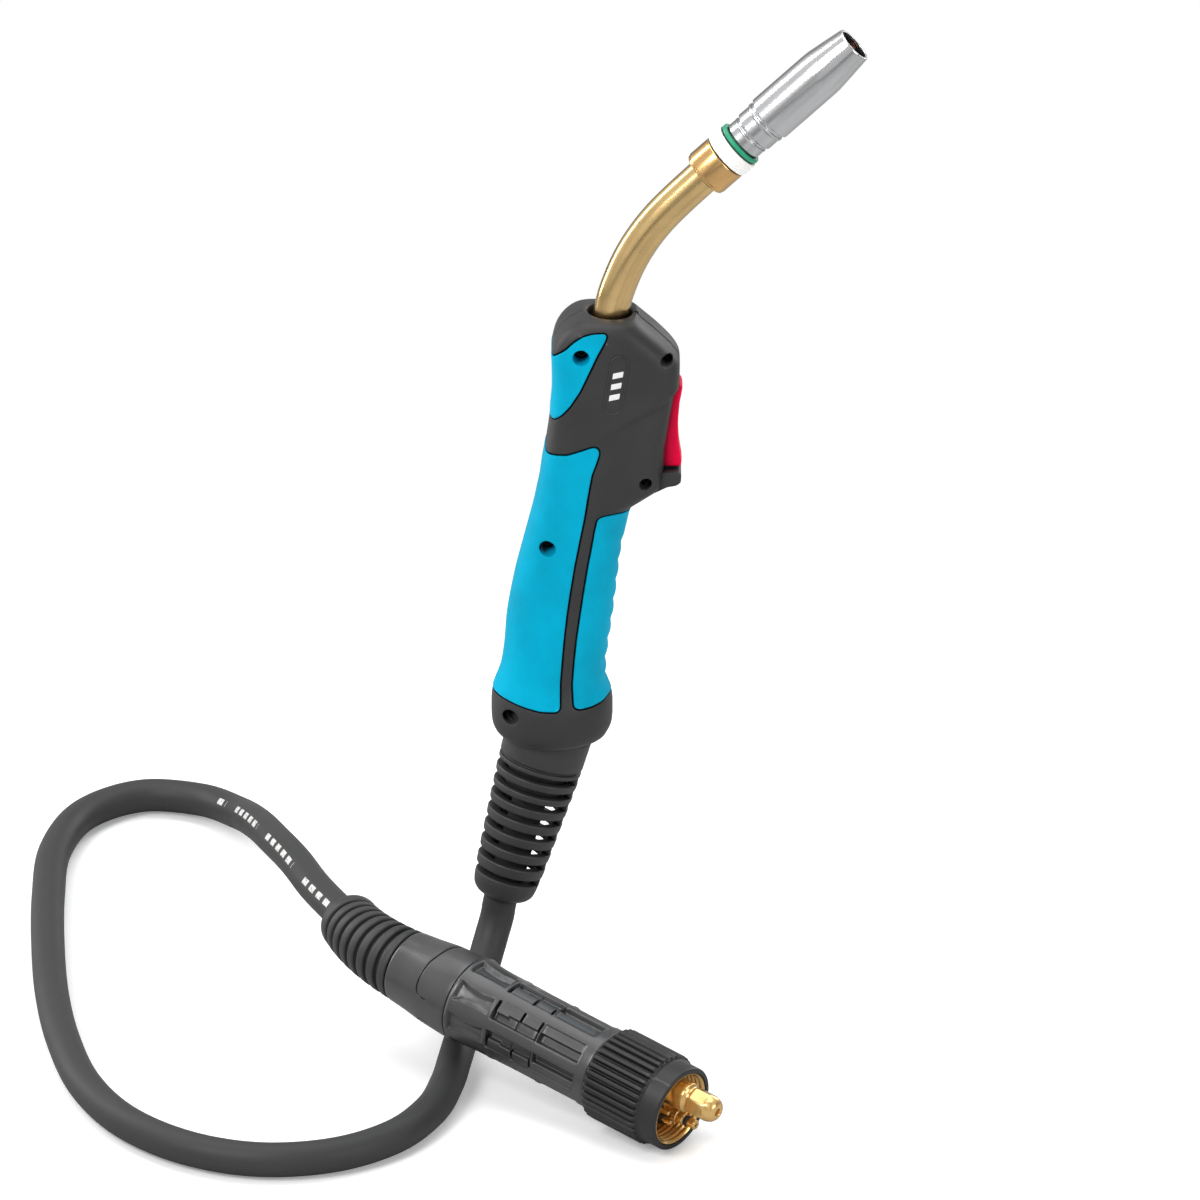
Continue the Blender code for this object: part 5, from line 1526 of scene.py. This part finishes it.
def band_loop(controls, wide):
    """Return the closed outline of a thin slot along a line of turn and height."""
    line = np.array([(turn * UNROLL_R, height) for turn, height in controls])
    line = even_line(smooth_line(line, 10), 0.7)
    ahead = np.gradient(line, axis=0)
    ahead /= np.linalg.norm(ahead, axis=1)[:, None]
    side = np.stack([-ahead[:, 1], ahead[:, 0]], -1) * wide / 2.0
    tip = [line[-1] + ahead[-1] * wide * 0.4]
    tail = [line[0] - ahead[0] * wide * 0.4]
    return np.vstack([line + side, tip, (line - side)[::-1], tail])


def rear_sheet():
    """Return the outline of the rear housing's outer face laid flat."""
    left, right = SEAM_TURN * UNROLL_R, (SEAM_TURN + math.tau) * UNROLL_R
    across = np.linspace(left, right, REAR_SIDES + 1)
    low, high = REAR_ENDS
    outer = [(u, low) for u in across[:-1]]
    outer += [(right, z) for z in np.linspace(low, high, REAR_ROWS)[:-1]]
    outer += [(u, high) for u in across[::-1][:-1]]
    outer += [(left, z) for z in np.linspace(high, low, REAR_ROWS)[:-1]]
    return np.array(outer)


def rear_inside():
    """Return the rear housing's inner faces, without the ring that the outer face fills."""
    points, faces, uvs = lathe(REAR_INSIDE, REAR_SIDES, 0.0, True)
    last = (len(REAR_INSIDE) - 1) * REAR_SIDES
    return points, [face for face in faces if not (min(face) < REAR_SIDES and max(face) >= last)], uvs


def build_rear_housing():
    """Make the smooth rear housing with its two curved slots."""
    slots = [band_loop(PANEL_SLOT, SLOT_WIDE), band_loop(OTHER_SLOT, SLOT_WIDE)]
    lines = []
    for loop in slots:
        lines += with_family(loop, (-0.08, -0.2, -0.4), 0.6) + loop_family(loop, (0.05,), 0.6)
    at, faces = cut_domain(rear_sheet(), lines, 1.2, 0.35)
    depth = np.zeros(len(at))
    for loop in slots:
        gap = signed_distance(at, loop)
        edge = rounded_edge(np.maximum(0.0, -gap), 0.35, 0.22)
        depth = np.minimum(depth, np.where(gap > ON_WALL, -SLOT_DEEP, edge))
    line = fillet(REAR_LINE, 4.0, 6)
    order = np.argsort(line[:, 1])
    radius = np.interp(at[:, 1], line[order, 1], line[order, 0]) + depth
    turn = at[:, 0] / UNROLL_R
    outside = np.stack([radius * np.cos(turn), radius * np.sin(turn), at[:, 1]], -1)
    used, numbers = kept_points(faces, len(at))
    face = (outside[used], [tuple(numbers[corners]) for corners in faces], at[used] * MM)
    add_piece("rear_housing", join([face, rear_inside()]), "plug_black", PLUG, "lead", ["plug_rear_housing"])


FERRULE = ((3.0, -58.4), (8.0, -58.4), (8.0, -76.0), (10.2, -77.0), (10.2, -106.0), (7.75, -106.0),
           (7.75, -84.0), (3.0, -84.0))


def build_ferrule():
    """Give the hidden ferrule inside the plug its fine shape."""
    turned("ferrule", FERRULE, "plug_brass", PLUG, "lead", ["cable_ferrule"], 64, 0.3)


# ---------------------------------------------------------------- carried-over pieces

CARRIED = {
    "trigger_pin": "steel", "switch_body": "switch_grey",
    "switch_plunger": "trigger_red", "neck_block": "neck_brass", "core_hose": "cable_rubber",
}


def dress_carried():
    """Give the pieces that stay as they are their materials."""
    for name, look in CARRIED.items():
        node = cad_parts[name]
        node.data.materials.clear()
        node.data.materials.append(LOOKS[look])


# ---------------------------------------------------------------- light, floor and camera

WHITE = (1.0, 1.0, 1.0, 1.0)


def grey(value):
    """Return a neutral colour."""
    return (value, value, value, 1.0)


def add_area(name, at, target, size, power, tall=None):
    """Add a soft area light aimed at a point."""
    lamp = bpy.data.lights.new(name, "AREA")
    lamp.shape = "RECTANGLE" if tall else "SQUARE"
    lamp.size = size
    if tall:
        lamp.size_y = tall
    lamp.energy = power
    made = bpy.data.objects.new(name, lamp)
    made.location = at
    made.rotation_euler = (Vector(target) - Vector(at)).to_track_quat("-Z", "Y").to_euler()
    bpy.context.scene.collection.objects.link(made)


def add_ramp(nodes, links, source, stops):
    """Add a ramp of greys over a direction's run from -1 to 1."""
    ramp = nodes.new("ShaderNodeValToRGB")
    (first_at, first), (last_at, last) = stops[0], stops[-1]
    ramp.color_ramp.elements[0].position = first_at
    ramp.color_ramp.elements[0].color = grey(first)
    ramp.color_ramp.elements[1].position = last_at
    ramp.color_ramp.elements[1].color = grey(last)
    for position, value in stops[1:-1]:
        ramp.color_ramp.elements.new(position).color = grey(value)
    links.new(add_range(nodes, links, source, -1.0, 1.0, 0.0, 1.0), ramp.inputs[0])
    return ramp.outputs[0]


def add_backdrop(nodes, links, colour, strength):
    """Add a background shader; its colour is a socket or a colour."""
    made = nodes.new("ShaderNodeBackground")
    feed(links, made.inputs["Color"], colour)
    made.inputs["Strength"].default_value = strength
    return made.outputs[0]


def mix_shaders(nodes, links, factor, first, second):
    """Mix two shaders."""
    mix = nodes.new("ShaderNodeMixShader")
    for socket, source in zip(mix.inputs, (factor, first, second)):
        links.new(source, socket)
    return mix.outputs[0]


SKY = ((0.3, 0.75), (0.47, 0.5), (0.52, 0.22), (0.6, 0.25), (0.68, 0.8), (0.95, 1.0))
PANELS = ((0.0, 0.9), (0.22, 0.95), (0.27, 0.5), (0.33, 0.45), (0.37, 0.85), (0.52, 0.95), (0.56, 0.35),
          (0.62, 0.35), (0.66, 0.85), (0.86, 0.85), (0.9, 0.4), (1.0, 0.35))


def build_world():
    """Make the pale surroundings: white to the camera, banded grey to reflections."""
    world = bpy.data.worlds.new("studio")
    bpy.context.scene.world = world
    world.use_nodes = True
    nodes, links = world.node_tree.nodes, world.node_tree.links
    nodes.clear()
    out = nodes.new("ShaderNodeOutputWorld")
    path = nodes.new("ShaderNodeLightPath")
    split = nodes.new("ShaderNodeSeparateXYZ")
    links.new(nodes.new("ShaderNodeTexCoord").outputs["Generated"], split.inputs[0])
    seen = add_backdrop(nodes, links, WHITE, 1.0)
    lit = add_backdrop(nodes, links, add_ramp(nodes, links, split.outputs[2], SKY), 0.42)
    shiny = add_backdrop(nodes, links, add_ramp(nodes, links, split.outputs[0], PANELS), 0.75)
    indirect = mix_shaders(nodes, links, path.outputs["Is Glossy Ray"], lit, shiny)
    links.new(mix_shaders(nodes, links, path.outputs["Is Camera Ray"], indirect, seen), out.inputs["Surface"])


FLOOR_HALF = 6.0
FLOOR_DROP = -0.0006
GLOW_NEAR, GLOW_FAR = 0.26, 0.62        # metres from the middle over which the floor turns plain white


def build_floor():
    """Make the plain pale floor, which fades to pure white for the camera."""
    mesh = bpy.data.meshes.new("floor")
    corners = [(x * FLOOR_HALF, y * FLOOR_HALF, FLOOR_DROP) for x, y in ((-1, -1), (1, -1), (1, 1), (-1, 1))]
    mesh.from_pydata(corners, [], [(0, 1, 2, 3)])
    made, nodes, links, shader = shader_nodes("floor_white")
    at = nodes.new("ShaderNodeTexCoord").outputs["Object"]
    seen = nodes.new("ShaderNodeLightPath")
    pale = add_mix(nodes, links, add_noise(nodes, links, at, 3.0, 2.0), grey(0.86), grey(0.9))
    dim = add_mix(nodes, links, seen.outputs["Is Glossy Ray"], pale, grey(0.48))
    shown = add_mix(nodes, links, seen.outputs["Is Camera Ray"], dim, grey(1.3))
    links.new(shown, shader.inputs["Base Color"])
    shader.inputs["Roughness"].default_value = 0.9
    shader.inputs["Specular IOR Level"].default_value = 0.1
    reach = nodes.new("ShaderNodeVectorMath")
    reach.operation = "LENGTH"
    links.new(at, reach.inputs[0])
    far = add_range(nodes, links, reach.outputs["Value"], GLOW_NEAR, GLOW_FAR, 0.25, 1.0)
    glow = nodes.new("ShaderNodeEmission")
    share = add_math(nodes, links, "MULTIPLY", far, seen.outputs["Is Camera Ray"])
    mixed = mix_shaders(nodes, links, share, shader.outputs[0], glow.outputs[0])
    links.new(mixed, nodes["Material Output"].inputs["Surface"])
    mesh.materials.append(made)
    floor = bpy.data.objects.new("floor", mesh)
    bpy.context.scene.collection.objects.link(floor)


VIEW_RISE = math.radians(23.77)
VIEW_FAR = 4.767
VIEW_LENS, SENSOR_WIDE = 339.0, 36.0
VIEW_SHIFT = (19.7, 0.0, 54.2)
CAMERA_TARGET = Vector([BALL_AT[axis] + VIEW_SHIFT[axis] for axis in range(3)]) * MM
CAMERA_AT = CAMERA_TARGET + Vector((0.0, -math.cos(VIEW_RISE), math.sin(VIEW_RISE))) * VIEW_FAR


def build_camera():
    """Set the camera at the wanted viewing angle."""
    camera = bpy.data.cameras.new("camera")
    camera.lens = VIEW_LENS
    camera.sensor_width = SENSOR_WIDE
    made = bpy.data.objects.new("camera", camera)
    made.location = CAMERA_AT
    made.rotation_euler = (CAMERA_TARGET - CAMERA_AT).to_track_quat("-Z", "Y").to_euler()
    bpy.context.scene.collection.objects.link(made)
    bpy.context.scene.camera = made


# Name, place, aim, size, power and height where the light isn't square.
LIGHTS = (
    ("key", (-1.0, -1.3, 1.6), (0.0, 0.0, 0.15), 0.9, 24.0, None),
    ("fill", (1.6, -1.3, 0.8), (0.05, 0.0, 0.2), 0.9, 9.0, None),
    ("top", (0.1, 0.3, 2.0), (0.0, -0.05, 0.0), 1.6, 18.0, None),
    ("strip", (-0.9, 0.5, 0.7), (0.05, 0.0, 0.25), 0.25, 6.0, 1.2),
    ("rim", (0.9, 1.2, 0.8), (0.05, 0.0, 0.25), 0.3, 6.0, 1.2),
)
build_front_end()
build_neck()
build_boot()
build_ball()
build_plug_boot()
build_cable()
build_nut()
build_contacts()
build_ferrule()
build_front_housing()
build_rear_housing()
build_handle()
dress_carried()
build_world()
build_floor()
build_camera()
for light in LIGHTS:
    add_area(*light)
bpy.context.scene.view_settings.view_transform = "Standard"
